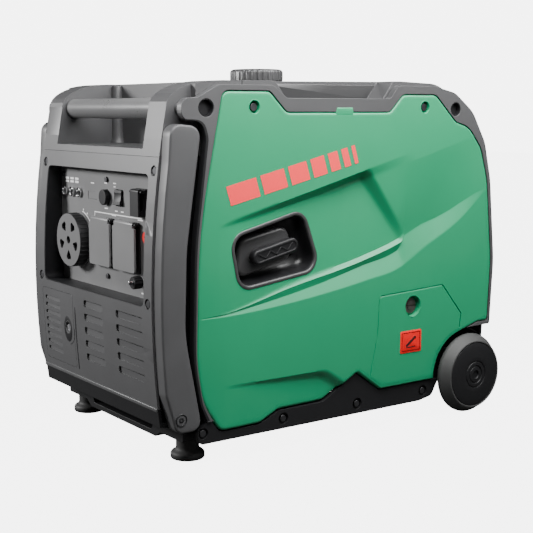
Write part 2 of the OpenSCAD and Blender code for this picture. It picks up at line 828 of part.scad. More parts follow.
// ---- engine and generator --------------------------------------------------
module engine_block() {
    color(iron) {
        difference() {
            union() {
                along_x(-62, 62) polygon(rounded([
                    [crank_y - 62, 78, 10], [crank_y + 62, 78, 10], [crank_y + 74, crank_z - 20, 14],
                    [crank_y + 66, crank_z + 62, 20], [crank_y - 66, crank_z + 62, 20],
                    [crank_y - 70, 120, 14]
                ]));
                translate([0, crank_y, crank_z]) rotate([25, 0, 0]) {
                    for (i = [0:6]) {
                        translate([-48, 72 + i * 9, -48]) cube([96, 4, 96]);
                    }
                    rod_y(60, 132, 0, 0, 38);
                    block([-44, 131, -44], [44, 156, 44]);
                    block([-34, 155.5, -34], [34, 176, 34]);
                }
                for (x = [-60, 70]) {
                    for (y = [-70, 60]) {
                        rod_z(60.4, 84, x * 0.9, y, 11);
                    }
                }
            }
            rod_x(-80, 80, crank_y, crank_z, 14 + running);
            rod_x(-44, 44, crank_y, crank_z, 50);
            rod_x(30, 80, 40, 112, 9.4);
        }
    }
}
module crank_rotor() {
    color(steel) {
        rod_x(-74, 146, crank_y, crank_z, 14);
        difference() {
            rod_x(92, 128, crank_y, crank_z, 66);
            rod_x(84, 120, crank_y, crank_z, 58);
        }
        for (i = [0:11]) {
            translate([0, crank_y, crank_z]) rotate([i * 30, 0, 0]) {
                block([127.5, 36, -1.5], [138, 64, 1.5]);
            }
        }
        for (x = [-34, 18]) {
            rod_x(x, x + 16, crank_y, crank_z, 40);
        }
    }
}
module stator() {
    color([0.72, 0.42, 0.2]) difference() {
        union() {
            rod_x(86, 114, crank_y, crank_z, 34);
            for (i = [0:17]) {
                translate([0, crank_y, crank_z]) rotate([i * 20, 0, 0]) {
                    block([88, 32, -3.5], [112, 55, 3.5]);
                }
            }
            rod_x(62.4, 87, crank_y, crank_z, 26);
        }
        rod_x(60, 120, crank_y, crank_z, 16);
    }
}
module muffler() {
    color(iron) {
        difference() {
            along_x(60, 176) polygon(rounded(box_outline(176, 142, 256, 238, 12)));
            along_x(63, 173) polygon(rounded(box_outline(179, 145, 253, 235, 9)));
        }
        rod_y(255, 261.6, 118, 190, 20);
    }
}
module air_cleaner() {
    color(black) {
        along_x(-186, -112) polygon(rounded([[60, 230, 8], [170, 230, 8], [170, 350, 8], [60, 350, 8]]));
        rod_x(-112.5, -96.6, 100, 270, 17);
    }
}
module carburettor() {
    color(iron) {
        difference() {
            union() {
                rod_x(-96, -58.6, 100, 270, 18);
                rod_z(236, 262, -76, 100, 17);
            }
            rod_x(-97, -58, 100, 270, 11);
        }
    }
}
module inverter_module() {
    color(iron) {
        block([-52, -282, 70], [160, -270, 216]);
        for (i = [0:12]) {
            block([-46 + i * 16, -270.5, 74], [-42 + i * 16, -240, 212]);
        }
    }
}
module battery() {
    color(black) {
        block([-166, -300, 84], [-68, -214, 190]);
        for (x = [-150, -84]) {
            rod_z(189.5, 198, x, -230, 6);
        }
    }
}
module oil_dipstick() {
    color(black) {
        rod_x(44, 80, 40, 112, 9.3);
        rod_x(80, 96, 40, 112, 15);
        rod_x(96, 104, 40, 112, 10);
    }
}

// ---- fuel tank -------------------------------------------------------------
module fuel_tank() {
    color(black) difference() {
        union() {
            along_z(420, 500) polygon(rounded(box_outline(-150, -130, 150, 230, 20)));
            rod_z(499, 544, 0, cap_y, 27);
        }
        along_z(423, 497) polygon(rounded(box_outline(-147, -127, 147, 227, 17)));
        rod_z(490, 560, 0, cap_y, 24);
    }
}
module cap_gasket() {
    color(black) difference() {
        rod_z(544.1, 546.1, 0, cap_y, 30);
        rod_z(540, 550, 0, cap_y, 23);
    }
}
module fuel_cap() {
    color(case_grey) difference() {
        union() {
            rod_z(544.6, cap_top - 3, 0, cap_y, cap_d / 2 - 1.2);
            translate([0, cap_y, cap_top - 3]) cylinder(h = 3, r1 = cap_d / 2 - 1.2, r2 = cap_d / 2 - 4.2);
            translate([0, cap_y, 0]) for (i = [0:29]) {
                rotate([0, 0, i * 12]) rod_z(546, cap_top - 4, cap_d / 2 - 2, 0, 2);
            }
        }
        rod_z(540, cap_top - 4, 0, cap_y, 31);
    }
    color(case_grey) rod_z(546.2, cap_top - 3.9, 0, cap_y, 22);
}

// ---- fasteners -------------------------------------------------------------
module screw_x(x, y, z) {
    rod_x(x - 4, x, y, z, 5.5);
    rod_x(x - 14, x - 3.9, y, z, 3);
}
module case_screws() {
    color(steel) {
        both_sides() {
            for (p = screw_top) {
                screw_x(case_half - 1.8, p[0], p[1]);
            }
            for (y = [-115, 28, 168]) {
                rod_x(case_half - 7, case_half - 3.6, y, 46, 5);
            }
            rod_x(case_half - 7, case_half - 3.6, -256, 47, 5);
            rod_x(case_half - 6, case_half - 2.5, -293, 73, 5);
        }
        for (s = [-1, 1]) {
            rod_y(front_y(418) + 1.4, front_y(418) + 3, s * 173, 418, 5);
            rod_y(front_y(235) + 0.8, front_y(235) + 2.6, s * 173, 235, 5);
        }
        for (p = [[-4, 397], [-152, 399], [-5, 250]]) {
            rod_y(plate_y - 3, plate_y, p[0], p[1], 4);
        }
    }
}

base_tray();
front_crossmember();
front_skirt();
feet();
channel_liners();
axle();
axle_brackets();
tyre_right();
tyre_left();
wheel_disc_right();
wheel_disc_left();
side_panel_right();
side_panel_left();
side_frame_right();
side_frame_left();
corner_cover_right();
corner_cover_left();
front_panel();
top_cowl();
top_cover();
rear_cover();
exhaust_outlet();
handle_tube();
handle_grip();
control_plate();
engine_dial();
indicator_lamps();
display_window();
start_button();
rocker_switch();
dc_outlet();
dc_cover();
mains_outlets();
outlet_cover_left();
outlet_cover_right();
parallel_jacks();
ground_stud();
ground_nut();
battery_door();
battery_latch();
service_hatch();
hatch_latch();
recoil_bezel();
recoil_grip();
recoil_rope();
recoil_housing();
recoil_pulley();
fuel_cap();
cap_gasket();
fuel_tank();
engine_block();
crank_rotor();
stator();
muffler();
air_cleaner();
carburettor();
inverter_module();
battery();
oil_dipstick();
case_screws();
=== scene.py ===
import math
import bpy
import numpy as np
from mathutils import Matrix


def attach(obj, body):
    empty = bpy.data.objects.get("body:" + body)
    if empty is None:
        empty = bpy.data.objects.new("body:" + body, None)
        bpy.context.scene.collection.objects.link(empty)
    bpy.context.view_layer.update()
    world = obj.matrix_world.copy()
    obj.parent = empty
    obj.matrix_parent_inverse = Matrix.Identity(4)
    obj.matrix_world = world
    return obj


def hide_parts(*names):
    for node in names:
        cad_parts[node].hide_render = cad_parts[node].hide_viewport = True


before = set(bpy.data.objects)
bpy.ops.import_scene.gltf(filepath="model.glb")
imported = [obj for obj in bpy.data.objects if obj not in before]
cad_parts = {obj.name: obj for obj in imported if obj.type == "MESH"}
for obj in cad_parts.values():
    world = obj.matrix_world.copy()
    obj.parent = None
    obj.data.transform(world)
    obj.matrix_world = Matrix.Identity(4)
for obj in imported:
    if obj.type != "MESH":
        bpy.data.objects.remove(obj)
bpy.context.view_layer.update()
mm = 0.001
print("frame loaded")


# Shader maths: sockets with operators, and a small maker of materials.

# one output socket; an expression on it adds Math nodes
class Sock:
    # keeps the material and the socket
    def __init__(self, paint, out):
        self.paint, self.out = paint, out

    # one Math node over this and other values, clamped to 0..1 if asked
    def calc(self, op, *others, clamp=False):
        node = self.paint.tree.nodes.new("ShaderNodeMath")
        node.operation, node.use_clamp = op, clamp
        for i, value in enumerate(others):
            self.paint.feed(node.inputs[i], value)
        return Sock(self.paint, node.outputs[0])

    # sums, differences, products and quotients
    def __add__(self, other):
        return self.calc("ADD", self, other)

    def __sub__(self, other):
        return self.calc("SUBTRACT", self, other)

    def __rsub__(self, other):
        return self.calc("SUBTRACT", other, self)

    def __mul__(self, other):
        return self.calc("MULTIPLY", self, other)

    def __truediv__(self, other):
        return self.calc("DIVIDE", self, other)

    # the value held between 0 and 1
    def clamped(self):
        return self.calc("ADD", self, 0.0, clamp=True)

    __radd__, __rmul__ = __add__, __mul__


# a material under construction, with its Principled shader and object coordinates
class Paint:
    def __init__(self, name):
        self.material = bpy.data.materials.new(name)
        self.material.use_nodes = True
        self.tree = self.material.node_tree
        self.shader = self.tree.nodes["Principled BSDF"]
        self.place = self.node("ShaderNodeTexCoord", out="Object")

    # links a socket, or sets its value
    def feed(self, socket, value):
        if isinstance(value, Sock):
            self.tree.links.new(value.out, socket)
        else:
            socket.default_value = value

    # any node: its type, its settings, a ramp's stops, then the values or links of its sockets
    def node(self, kind, settings=None, out=0, stops=None, **inputs):
        node = self.tree.nodes.new(kind)
        for key, value in (settings or {}).items():
            setattr(node, key, value)
        for i, (position, colour) in enumerate(stops or []):
            stop = node.color_ramp.elements[i] if i < 2 else node.color_ramp.elements.new(position)
            stop.position, stop.color = position, colour
        for key, value in inputs.items():
            self.feed(node.inputs[int(key[1:]) if key[0] == "i" and key[1:].isdigit() else key], value)
        return Sock(self, node.outputs[out])

    # cloudy noise whose patches are about size millimetres wide
    def noise(self, size, detail=3.0, rough=0.55):
        return self.node("ShaderNodeTexNoise", Vector=self.place, Scale=1 / (size * mm), Detail=detail,
                         Roughness=rough)

    # first * (1 - mask) + second * mask, as colours
    def blend(self, mask, first, second):
        return self.node("ShaderNodeMix", {"data_type": "RGBA"}, out=2, i0=mask, i6=first, i7=second)

    # a normal from a height, in millimetres
    def bump(self, height, strength, distance):
        return self.node("ShaderNodeBump", Strength=strength, Distance=distance * mm, Height=height)

    # feeds the shader's inputs; a low line in a name stands for a space
    def use(self, **inputs):
        for key, value in inputs.items():
            self.feed(self.shader.inputs[key.replace("_", " ")], value)
        return self.material


# a solid colour with full alpha
def rgb(r, g, b):
    return (r, g, b, 1.0)


# moulded plastic: colour drifts a little, the gloss varies and a fine spark-eroded grain stands in the bump
def mouldedPlastic(name, colour, rough=0.48, grain=0.9, grainDepth=0.05, drift=0.12, coat=0.0, shine=0.5):
    p = Paint(name)
    cloud = p.noise(70, 4.0)
    fine = p.noise(grain, 2.0)
    dark = rgb(*[c * (1 - drift) for c in colour])
    light = rgb(*[min(1, c * (1 + drift)) for c in colour])
    scuff = p.noise(9, 6.0, 0.7).calc("MULTIPLY_ADD", p.noise(9, 6.0, 0.7), 6.0, -3.6, clamp=True)
    return p.use(
        Base_Color=p.blend(cloud, dark, light),
        Roughness=(fine * 0.10 + cloud * 0.10 + scuff * 0.06 + (rough - 0.10)).clamped(),
        Normal=p.bump(fine, 0.35, grainDepth), Coat_Weight=coat, Specular_IOR_Level=shine,
    )


# metal: a soft cloud in colour and gloss, and fine streaks for brushing
def metal(name, colour, rough=0.25, brushed=0.0):
    p = Paint(name)
    cloud = p.noise(14, 5.0)
    streak = p.node("ShaderNodeTexNoise", Scale=900.0, Detail=2.0,
                    Vector=p.node("ShaderNodeMapping", Vector=p.place, Scale=(1.0, 0.06, 1.0)))
    return p.use(
        Base_Color=p.blend(cloud, rgb(*[c * 0.88 for c in colour]), rgb(*colour)), Metallic=1.0,
        Roughness=(cloud * 0.14 + streak * brushed + rough - 0.07).clamped(),
        Normal=p.bump(streak, 0.2, 0.02),
    )


# rubber: matt, dusty in large soft patches
def rubberPaint(name, colour):
    p = Paint(name)
    dust = p.noise(22, 6.0, 0.65)
    fine = p.noise(0.6, 2.0)
    return p.use(
        Base_Color=p.blend(dust, rgb(*colour), rgb(*[c * 1.5 + 0.004 for c in colour])),
        Roughness=(dust * 0.2 + 0.55).clamped(), Normal=p.bump(fine, 0.4, 0.06),
    )


# printed film: a flat ink with a slight mottled gloss
def ink(name, colour, rough=0.4):
    p = Paint(name)
    mottle = p.noise(3, 3.0)
    return p.use(
        Base_Color=p.blend(mottle, rgb(*[c * 0.92 for c in colour]), rgb(*colour)),
        Roughness=(mottle * 0.12 + rough).clamped(), Normal=p.bump(mottle, 0.1, 0.02),
    )


# the dial: grey on its front face, black in the pockets and on the knurled side
def dialPaint(name, front, face=-0.3117):
    p = Paint(name)
    depth = p.node("ShaderNodeSeparateXYZ", out="Y", Vector=p.place)
    mask = (depth - face).calc("LESS_THAN", depth - face, 0.0)
    cloud = p.noise(8, 4.0)
    return p.use(
        Base_Color=p.blend(mask, rgb(0.01, 0.01, 0.011), rgb(*front)),
        Roughness=(cloud * 0.15 + 0.38).clamped(), Normal=p.bump(p.noise(0.7, 2.0), 0.3, 0.03),
    )


look = {
    "case": mouldedPlastic("casePlastic", (0.064, 0.064, 0.066), 0.45, shine=0.45),
    "plate": mouldedPlastic("plateEnamel", (0.15, 0.15, 0.152), 0.42, grain=0.6, grainDepth=0.02),
    "black": mouldedPlastic("blackPlastic", (0.009, 0.009, 0.010), 0.5, shine=0.28),
    "gloss": mouldedPlastic("glossBlack", (0.008, 0.008, 0.009), 0.36, grainDepth=0.01, shine=0.5),
    "tyre": rubberPaint("tyreRubber", (0.030, 0.030, 0.030)),
    "rubber": rubberPaint("footRubber", (0.010, 0.010, 0.010)),
    "green": mouldedPlastic("sideGreen", (0.008, 0.26, 0.112), 0.42, grain=1.4, grainDepth=0.012,
                            drift=0.05),
    "steel": metal("brightSteel", (0.62, 0.62, 0.64), 0.28, 0.15),
    "screw": metal("screwSteel", (0.10, 0.10, 0.105), 0.36, 0.1),
    "cap": mouldedPlastic("capPlastic", (0.045, 0.045, 0.046), 0.34, shine=0.5),
    "bar": mouldedPlastic("barSleeve", (0.14, 0.14, 0.142), 0.3, grain=2.2, grainDepth=0.02, shine=0.6),
    "chrome": metal("chromeRing", (0.85, 0.85, 0.86), 0.10),
    "painted": mouldedPlastic("paintedSteel", (0.07, 0.07, 0.072), 0.35, grain=2.0, grainDepth=0.02),
    "alloy": metal("castAlloy", (0.45, 0.46, 0.47), 0.5, 0.1),
    "iron": metal("darkIron", (0.14, 0.13, 0.12), 0.55, 0.1),
    "copper": metal("windingCopper", (0.7, 0.35, 0.18), 0.35),
    "red": mouldedPlastic("redPlastic", (0.65, 0.02, 0.02), 0.3, drift=0.05),
    "dial": dialPaint("dialPlastic", (0.12, 0.12, 0.122)),
    "decal": ink("decalRed", (1.0, 0.045, 0.055)),
    "label": ink("labelRed", (0.90, 0.004, 0.006), 0.3),
    "labelInk": ink("labelInk", (0.03, 0.005, 0.005)),
    "print": ink("whitePrint", (0.9, 0.9, 0.9)),
}
print("materials made")


# Outlines: flat closed lines as rows of (a, b) in millimetres.

# n even angles of a full turn
def fullTurn(n):
    return np.linspace(0, 2 * math.pi, n, endpoint=False)


# a rounded outline: each corner (a, b, radius) becomes the arc that touches both its edges
def arcOutline(corners, steps=8):
    pts = np.array(corners, float)
    parts = []
    for i in range(len(pts)):
        p, q, s, r = pts[i - 1, :2], pts[i, :2], pts[(i + 1) % len(pts), :2], pts[i, 2]
        a = (p - q) / np.linalg.norm(p - q)
        b = (s - q) / np.linalg.norm(s - q)
        if r == 0:
            parts.append(q[None])
            continue
        opening = math.acos(np.clip(a @ b, -1, 1))
        middle = (a + b) / np.linalg.norm(a + b)
        centre = q + middle * r / math.sin(opening / 2)
        start = q + a * r / math.tan(opening / 2) - centre
        turn = -1 if a[0] * b[1] - a[1] * b[0] > 0 else 1
        w = turn * np.linspace(0, math.pi - opening, steps + 1)
        parts.append(centre + np.stack([start[0] * np.cos(w) - start[1] * np.sin(w),
                                        start[0] * np.sin(w) + start[1] * np.cos(w)], 1))
    return np.concatenate(parts)


# the four corners of a box from (a0, b0) to (a1, b1), each with radius r
def boxOutline(a0, b0, a1, b1, r):
    return [(a0, b0, r), (a1, b0, r), (a1, b1, r), (a0, b1, r)]


# a rounded outline resampled to n even points
def smoothOutline(corners, n, steps=8):
    return evenly(arcOutline(corners, steps), n)


# the same closed outline as n points at even steps of its length
def evenly(outline, n):
    ring = np.vstack([outline, outline[:1]])
    reach = np.concatenate([[0], np.cumsum(np.linalg.norm(np.diff(ring, axis=0), axis=1))])
    s = np.linspace(0, reach[-1], n, endpoint=False)
    return np.stack([np.interp(s, reach, ring[:, 0]), np.interp(s, reach, ring[:, 1])], 1)


# unit normals that point out of an anticlockwise outline
def outward(outline):
    t = np.roll(outline, -1, 0) - np.roll(outline, 1, 0)
    t /= np.linalg.norm(t, axis=1)[:, None]
    return np.stack([t[:, 1], -t[:, 0]], 1)


# for each point: True inside the outline, and the nearest point on it
def nearest(points, outline):
    a, b = outline, np.roll(outline, -1, 0)
    inside = np.zeros(len(points), bool)
    best = np.full(len(points), np.inf)
    spot = np.zeros_like(points)
    for p, q in zip(a, b):
        d = q - p
        t = np.clip(((points - p) @ d) / (d @ d + 1e-12), 0, 1)
        foot = p + t[:, None] * d
        away = ((points - foot) ** 2).sum(1)
        closer = away < best
        best = np.where(closer, away, best)
        spot[closer] = foot[closer]
        crosses = (p[1] > points[:, 1]) != (q[1] > points[:, 1])
        reach = p[0] + (points[:, 1] - p[1]) * d[0] / (d[1] if d[1] else 1e-12)
        inside ^= crosses & (points[:, 0] < reach)
    return inside, spot


# Mesh makers: each gives one closed piece.

# a new object that shows some data: a mesh, lamp or camera
def showData(name, data):
    piece = bpy.data.objects.new(name, data)
    bpy.context.collection.objects.link(piece)
    return piece


# the vertex positions of a mesh in metres, one row each
def positions(mesh):
    co = np.empty(len(mesh.vertices) * 3, np.float32)
    mesh.vertices.foreach_get("co", co)
    return co.reshape(-1, 3)


# vertices in millimetres, quads and any wider faces; a closed shape is turned so that it faces outwards
def putMesh(name, verts, quads, caps=(), closed=True, sharp=40):
    verts = np.asarray(verts, float)
    quads = np.asarray(quads, int).reshape(-1, 4)
    if closed:
        v = verts - verts.mean(0)
        tris = [quads[:, [0, 1, 2]], quads[:, [0, 2, 3]]]
        for cap in caps:
            cap = np.asarray(cap)
            tris.append(np.stack([np.full(len(cap) - 2, cap[0]), cap[1:-1], cap[2:]], 1))
        t = np.concatenate(tris)
        if (v[t[:, 0]] * np.cross(v[t[:, 1]], v[t[:, 2]])).sum() < 0:
            quads = quads[:, ::-1]
            caps = [np.asarray(cap)[::-1] for cap in caps]
    sizes = np.concatenate([np.full(len(quads), 4), [len(cap) for cap in caps]]).astype(int)
    corners = np.concatenate([quads.ravel(), *[np.asarray(cap) for cap in caps]]).astype(np.int32)
    mesh = bpy.data.meshes.new(name)
    mesh.vertices.add(len(verts))
    mesh.vertices.foreach_set("co", (verts * mm).astype(np.float32).ravel())
    mesh.loops.add(len(corners))
    mesh.loops.foreach_set("vertex_index", corners)
    mesh.polygons.add(len(sizes))
    mesh.polygons.foreach_set("loop_start", np.concatenate([[0], np.cumsum(sizes)[:-1]]).astype(np.int32))
    mesh.polygons.foreach_set("use_smooth", np.ones(len(sizes), bool))
    mesh.update(calc_edges=True)
    mesh.validate()
    if sharp:
        mesh.set_sharp_from_angle(angle=math.radians(sharp))
    return showData(name, mesh)


# the faces of a grid of rows and columns, whose last column may join the first
def gridQuads(rows, cols, wrap=True):
    a = np.arange(rows - 1)[:, None] * cols + np.arange(cols if wrap else cols - 1)[None]
    b = np.arange(rows - 1)[:, None] * cols + (np.arange(cols if wrap else cols - 1)[None] + 1) % cols
    return np.stack([a, b, b + cols, a + cols], -1).reshape(-1, 4)


# a closed skin over rings of the same length, capped flat at both ends
def skinRings(name, rings, sharp=40):
    rings = np.asarray(rings, float)
    k, n = rings.shape[:2]
    caps = [np.arange(n)[::-1], np.arange(n) + (k - 1) * n]
    return putMesh(name, rings.reshape(-1, 3), gridQuads(k, n), caps, sharp=sharp)


# a point (a, b) of an outline and a depth d behind a side face become (face - d, a, b)
def onSide(side, face=208.0):
    return lambda a, b, d: np.stack([side * (face - d) + 0 * a, a + 0 * d, b + 0 * d], -1)


# the same on a front face: (a, face + d, b)
def onFront(face):
    return lambda a, b, d: np.stack([a + 0 * d, face + d + 0 * a, b + 0 * d], -1)


# the same on a rear face: (a, face - d, b)
def onRear(face):
    return lambda a, b, d: np.stack([a + 0 * d, face - d + 0 * a, b + 0 * d], -1)


# the same on a top face: (a, b, face - d)
def onTop(face):
    return lambda a, b, d: np.stack([a + 0 * d, b + 0 * d, face - d + 0 * a], -1)


# an outline carried through a profile of (inset, depth) steps
def pillow(name, outline, profile, place, sharp=40):
    n = outward(outline)
    rings = [place(*(outline - n * inset).T, np.full(len(outline), float(depth)))
             for inset, depth in profile]
    return skinRings(name, rings, sharp)


# quarter-round edge of radius r: (inset, depth) steps from the side wall to the face
def roundEdge(r, steps=6, top=0.0):
    w = np.linspace(0, math.pi / 2, steps + 1)
    return list(zip(r * (1 - np.cos(w)), top + r * (1 - np.sin(w))))


# a profile of (radius, along) carried round an axis through centre
def lathe(name, profile, centre, axis, segments=96, sharp=35):
    prof = np.array(profile, float)
    w = fullTurn(segments)
    u, v = np.cos(w), np.sin(w)
    r, h = prof[:, 0][:, None], prof[:, 1][:, None] + 0 * u
    order = {"x": (h, r * u, r * v), "y": (r * v, h, r * u), "z": (r * u, r * v, h)}[axis]
    return skinRings(name, np.stack(order, -1) + np.array(centre, float), sharp)


# a copy of a piece with x turned to -x
def mirrored(name, piece):
    mesh = piece.data.copy()
    mesh.name = name
    mesh.vertices.foreach_set("co", (positions(mesh) * np.array([-1, 1, 1], np.float32)).ravel())
    mesh.flip_normals()
    return showData(name, mesh)


# one piece out of several, whose vertices and faces follow one another
def join(name, parts):
    verts, faces, start = [], [], 0
    for part in parts:
        m = part.data
        verts.append(positions(m))
        faces += [[start + v for v in poly.vertices] for poly in m.polygons]
        start += len(m.vertices)
        bpy.data.objects.remove(part)
        bpy.data.meshes.remove(m)
    mesh = bpy.data.meshes.new(name)
    mesh.from_pydata(np.concatenate(verts).tolist(), [], faces)
    mesh.shade_smooth()
    mesh.set_sharp_from_angle(angle=math.radians(35))
    return showData(name, mesh)


# moves a mesh by an offset, and mirrors it across the middle for the left side
def shiftMesh(piece, offset, side=1):
    mesh = piece.data
    co = (positions(mesh) + np.array(offset, np.float32) * mm) * np.array([side, 1, 1], np.float32)
    mesh.vertices.foreach_set("co", co.ravel())
    if side < 0:
        mesh.flip_normals()


# a material, the body that a piece rides on, its slot and the nodes that it stands for
def dress(piece, material, body="case", stands=()):
    piece.data.materials.clear()
    piece.data.materials.append(look[material])
    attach(piece, body)
    if stands:
        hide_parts(*stands)
    return piece


# a node keeps its shape and gets a material and rounded edges; merge joins its flat faces first
def finishNode(node, material, edge=0.8, merge=True):
    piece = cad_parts[node]
    for i in range(len(piece.material_slots)):
        piece.material_slots[i].link = "OBJECT"
        piece.material_slots[i].material = look[material]
    weld = piece.modifiers.new("weld", "WELD")
    weld.merge_threshold = 0.02 * mm
    if merge:
        flat = piece.modifiers.new("flat", "DECIMATE")
        flat.decimate_type, flat.angle_limit = "DISSOLVE", math.radians(1.0)
    if edge:
        bevel = piece.modifiers.new("edge", "BEVEL")
        bevel.width, bevel.segments, bevel.angle_limit = edge * mm, 3, math.radians(32)
        bevel.use_clamp_overlap, bevel.harden_normals = True, True
    return piece


# Side panels, hatch, starter and stripes.

case = {"half": 208.0, "axleY": 259.0, "axleZ": 66.0, "archR": 70.0}


# the bowed front: a parabola over the height
def frontY(z):
    return -325 + 0.00036 * (np.asarray(z, float) - 231) ** 2


# corners along the wheel arch, between two angles about the axle
def archPoints(radius, first=174, last=102, steps=9):
    w = np.radians(np.linspace(first, last, steps))
    return [(case["axleY"] + radius * math.cos(v), case["axleZ"] + radius * math.sin(v), 0) for v in w]


sideCorners = [(-229, 46, 16), (-158, 46, 16), (-124, 61, 14), (-40, 61, 30), (24, 97, 3), (72, 63, 6),
               (189.1, 63, 0)]
sideCorners += archPoints(case["archR"])
sideCorners += [(289, 147, 20), (313, 147, 6), (318, 250, 250), (304, 385, 150), (288, 437, 50),
                (258, 473, 45), (228, 481, 20), (182, 524, 18), (112, 524, 14), (85, 497, 14),
                (-112, 497, 14), (-142, 527, 14), (-222, 527, 13), (-262, 332, 900), (-267, 150, 260),
                (-257, 90, 100)]
hatchCorners = [(73, 64, 0), (188.1, 64, 0)] + archPoints(case["archR"] + 1)
hatchCorners += [(249, 166, 4), (203, 219, 4), (66, 213, 7), (63, 150, 0), (48.5, 81.4, 0)]
bezelCorners = [(-42, 262, 26), (-74, 357, 26), (-213, 325, 26), (-197, 243, 26)]

relief = {
    "slope": 0.26, "lineY": -229, "lineZ": 341,        # upper crease, from its front tip
    "floor": 0.075, "deepest": 17.0,                   # how fast the recess deepens to the rear
    "blade": 0.44, "bladeMost": 9.5,                   # the bright facet below it
    "wallFrom": (51, 402.5), "wallNormal": (0.803, 0.596), "wallWide": 13.0,
    "bulge": 3.5,
    "low": [(-290, 210), (-205, 212), (-128, 218), (40, 241), (105, 254), (160, 283), (242, 325.5),
            (300, 370)],
    "blade wide": [(-253, 0.5), (37, 22), (112, 25), (122, 42), (160, 36.5), (193, 29), (242, 23.5),
                   (276, 13.5), (300, 0.5)],
    "crest": [(-290, 211), (-242, 212.6), (-101, 243), (40, 272), (119, 296), (200, 338), (320, 400)],
    "wedge": [(40, 4.0), (137, 0)],
    "scoopTop": 110.5,
}


# a smooth line through a few points: a cubic between each two, with the slope of their neighbours
def smoothLine(points):
    p = np.array(points, float)
    slope = np.gradient(p[:, 1], p[:, 0])

    def value(x):
        i = np.clip(np.searchsorted(p[:, 0], x) - 1, 0, len(p) - 2)
        h = p[i + 1, 0] - p[i, 0]
        t = np.clip((x - p[i, 0]) / h, 0, 1)
        return ((1 + 2 * t) * (1 - t) ** 2 * p[i, 1] + t * (1 - t) ** 2 * h * slope[i]
                + t * t * (3 - 2 * t) * p[i + 1, 1] + t * t * (t - 1) * h * slope[i + 1])
    return value


lowLine, crestLine = smoothLine(relief["low"]), smoothLine(relief["crest"])


# heights of the pressed creases over y, from the foot of the bright facet to the upper crease
def creases(y):
    top = relief["lineZ"] + relief["slope"] * (y - relief["lineY"])
    low = lowLine(y)
    root = low + np.interp(y, *np.array(relief["blade wide"]).T)
    crest = np.maximum(crestLine(y), root + 1.0)
    ridge = crest + np.clip(0.03 * (y + 253), 0.6, 6)
    roof = top - np.clip(5 + 0.05 * (y + 229), 1.0, 14)
    return low, root, crest, ridge, roof, top


# depth of a column at height z that passes through (height, depth) knots from low to high
def throughKnots(z, knots):
    depth = np.zeros_like(z)
    for (z0, d0), (z1, d1) in zip(knots[:-1], knots[1:]):
        t = np.clip((z - z0) / np.maximum(z1 - z0, 0.01), 0, 1)
        depth = np.where(z >= z0, d0 + (d1 - d0) * t, depth)
    return np.where(z > knots[-1][0], knots[-1][1], depth)


# the pressed shapes of the side panel: depth behind the face at (y, z)
def panelDepth(y, z):
    y, z = np.asarray(y, float), np.asarray(z, float)
    low, root, crest, ridge, roof, top = creases(y)
    floor = np.clip(relief["floor"] * (y + 229), 0, relief["deepest"])
    facet = np.minimum(relief["blade"] * (root - low), relief["bladeMost"])
    fade = np.clip((310 - y) / 120, 0, 1)
    wedge = np.interp(y, *np.array(relief["wedge"]).T)
    pocket = throughKnots(z, [(low, 0 * y), (root, facet), (crest, floor * 0.34), (ridge, floor * 0.66),
                              (roof, floor), (top, 0 * y)])
    rest = throughKnots(z, [(low, 0 * y), (root, facet * fade),
                            (root + 60, facet * fade * 0.45 + wedge * 0.5), (roof, wedge), (top, 0 * y)])
    wall = ((y - relief["wallFrom"][0]) * relief["wallNormal"][0]
            + (z - relief["wallFrom"][1]) * relief["wallNormal"][1])
    mix = np.clip(-wall / relief["wallWide"], 0, 1)
    upper = pocket * mix + rest * (1 - mix)
    foot = np.clip((y + 222) / 170, 0, 1)
    scoop = np.clip((relief["scoopTop"] - z) / np.maximum(9 * foot, 0.5), 0, 1) * 7.5 * foot
    scoop *= np.clip(-((y + 38) * 0.56 + (z - 109) * 0.83) / 12, 0, 1)
    bulge = relief["bulge"] * (1 - ((z - 262) / 275) ** 2) * (1 - ((y - 20) / 300) ** 2)
    front = 5.0 * np.clip((-205 - y) / 60, 0, 1) ** 2
    return upper + scoop - bulge + front


# rows that lie along the creases, and columns at even steps along the machine
def creaseGrid(step):
    y = np.arange(-272, 324, step)
    lines = [0 * y + 40, 0 * y + relief["scoopTop"] - 9, 0 * y + relief["scoopTop"], *creases(y),
             0 * y + 534]
    rows = []
    for i in range(len(lines) - 1):
        lower, upper = lines[i], np.maximum(lines[i + 1], lines[i] + 0.02)
        lines[i + 1] = upper
        count = max(2, int(round((upper - lower).max() / (step * 1.25))))
        t = np.arange(count)[:, None] / count
        rows.append(lower[None] * (1 - t) + upper[None] * t)
    z = np.concatenate(rows + [lines[-1][None]])
    return np.stack([np.broadcast_to(y, z.shape), z], -1)


# a closed sheet: the front, the same faces a thickness behind it, and walls along every free edge
def thickSheet(name, verts, quads, back):
    n = len(verts)
    pairs = quads[:, [0, 1, 1, 2, 2, 3, 3, 0]].reshape(-1, 2)
    key = np.sort(pairs, 1) @ np.array([n, 1])
    _, first, count = np.unique(key, return_index=True, return_counts=True)
    free = pairs[first[count == 1]]
    walls = np.stack([free[:, 1], free[:, 0], free[:, 0] + n, free[:, 1] + n], 1)
    return putMesh(name, np.concatenate([verts, verts + back]),
                   np.concatenate([quads, quads[:, ::-1] + n, walls]), sharp=38)


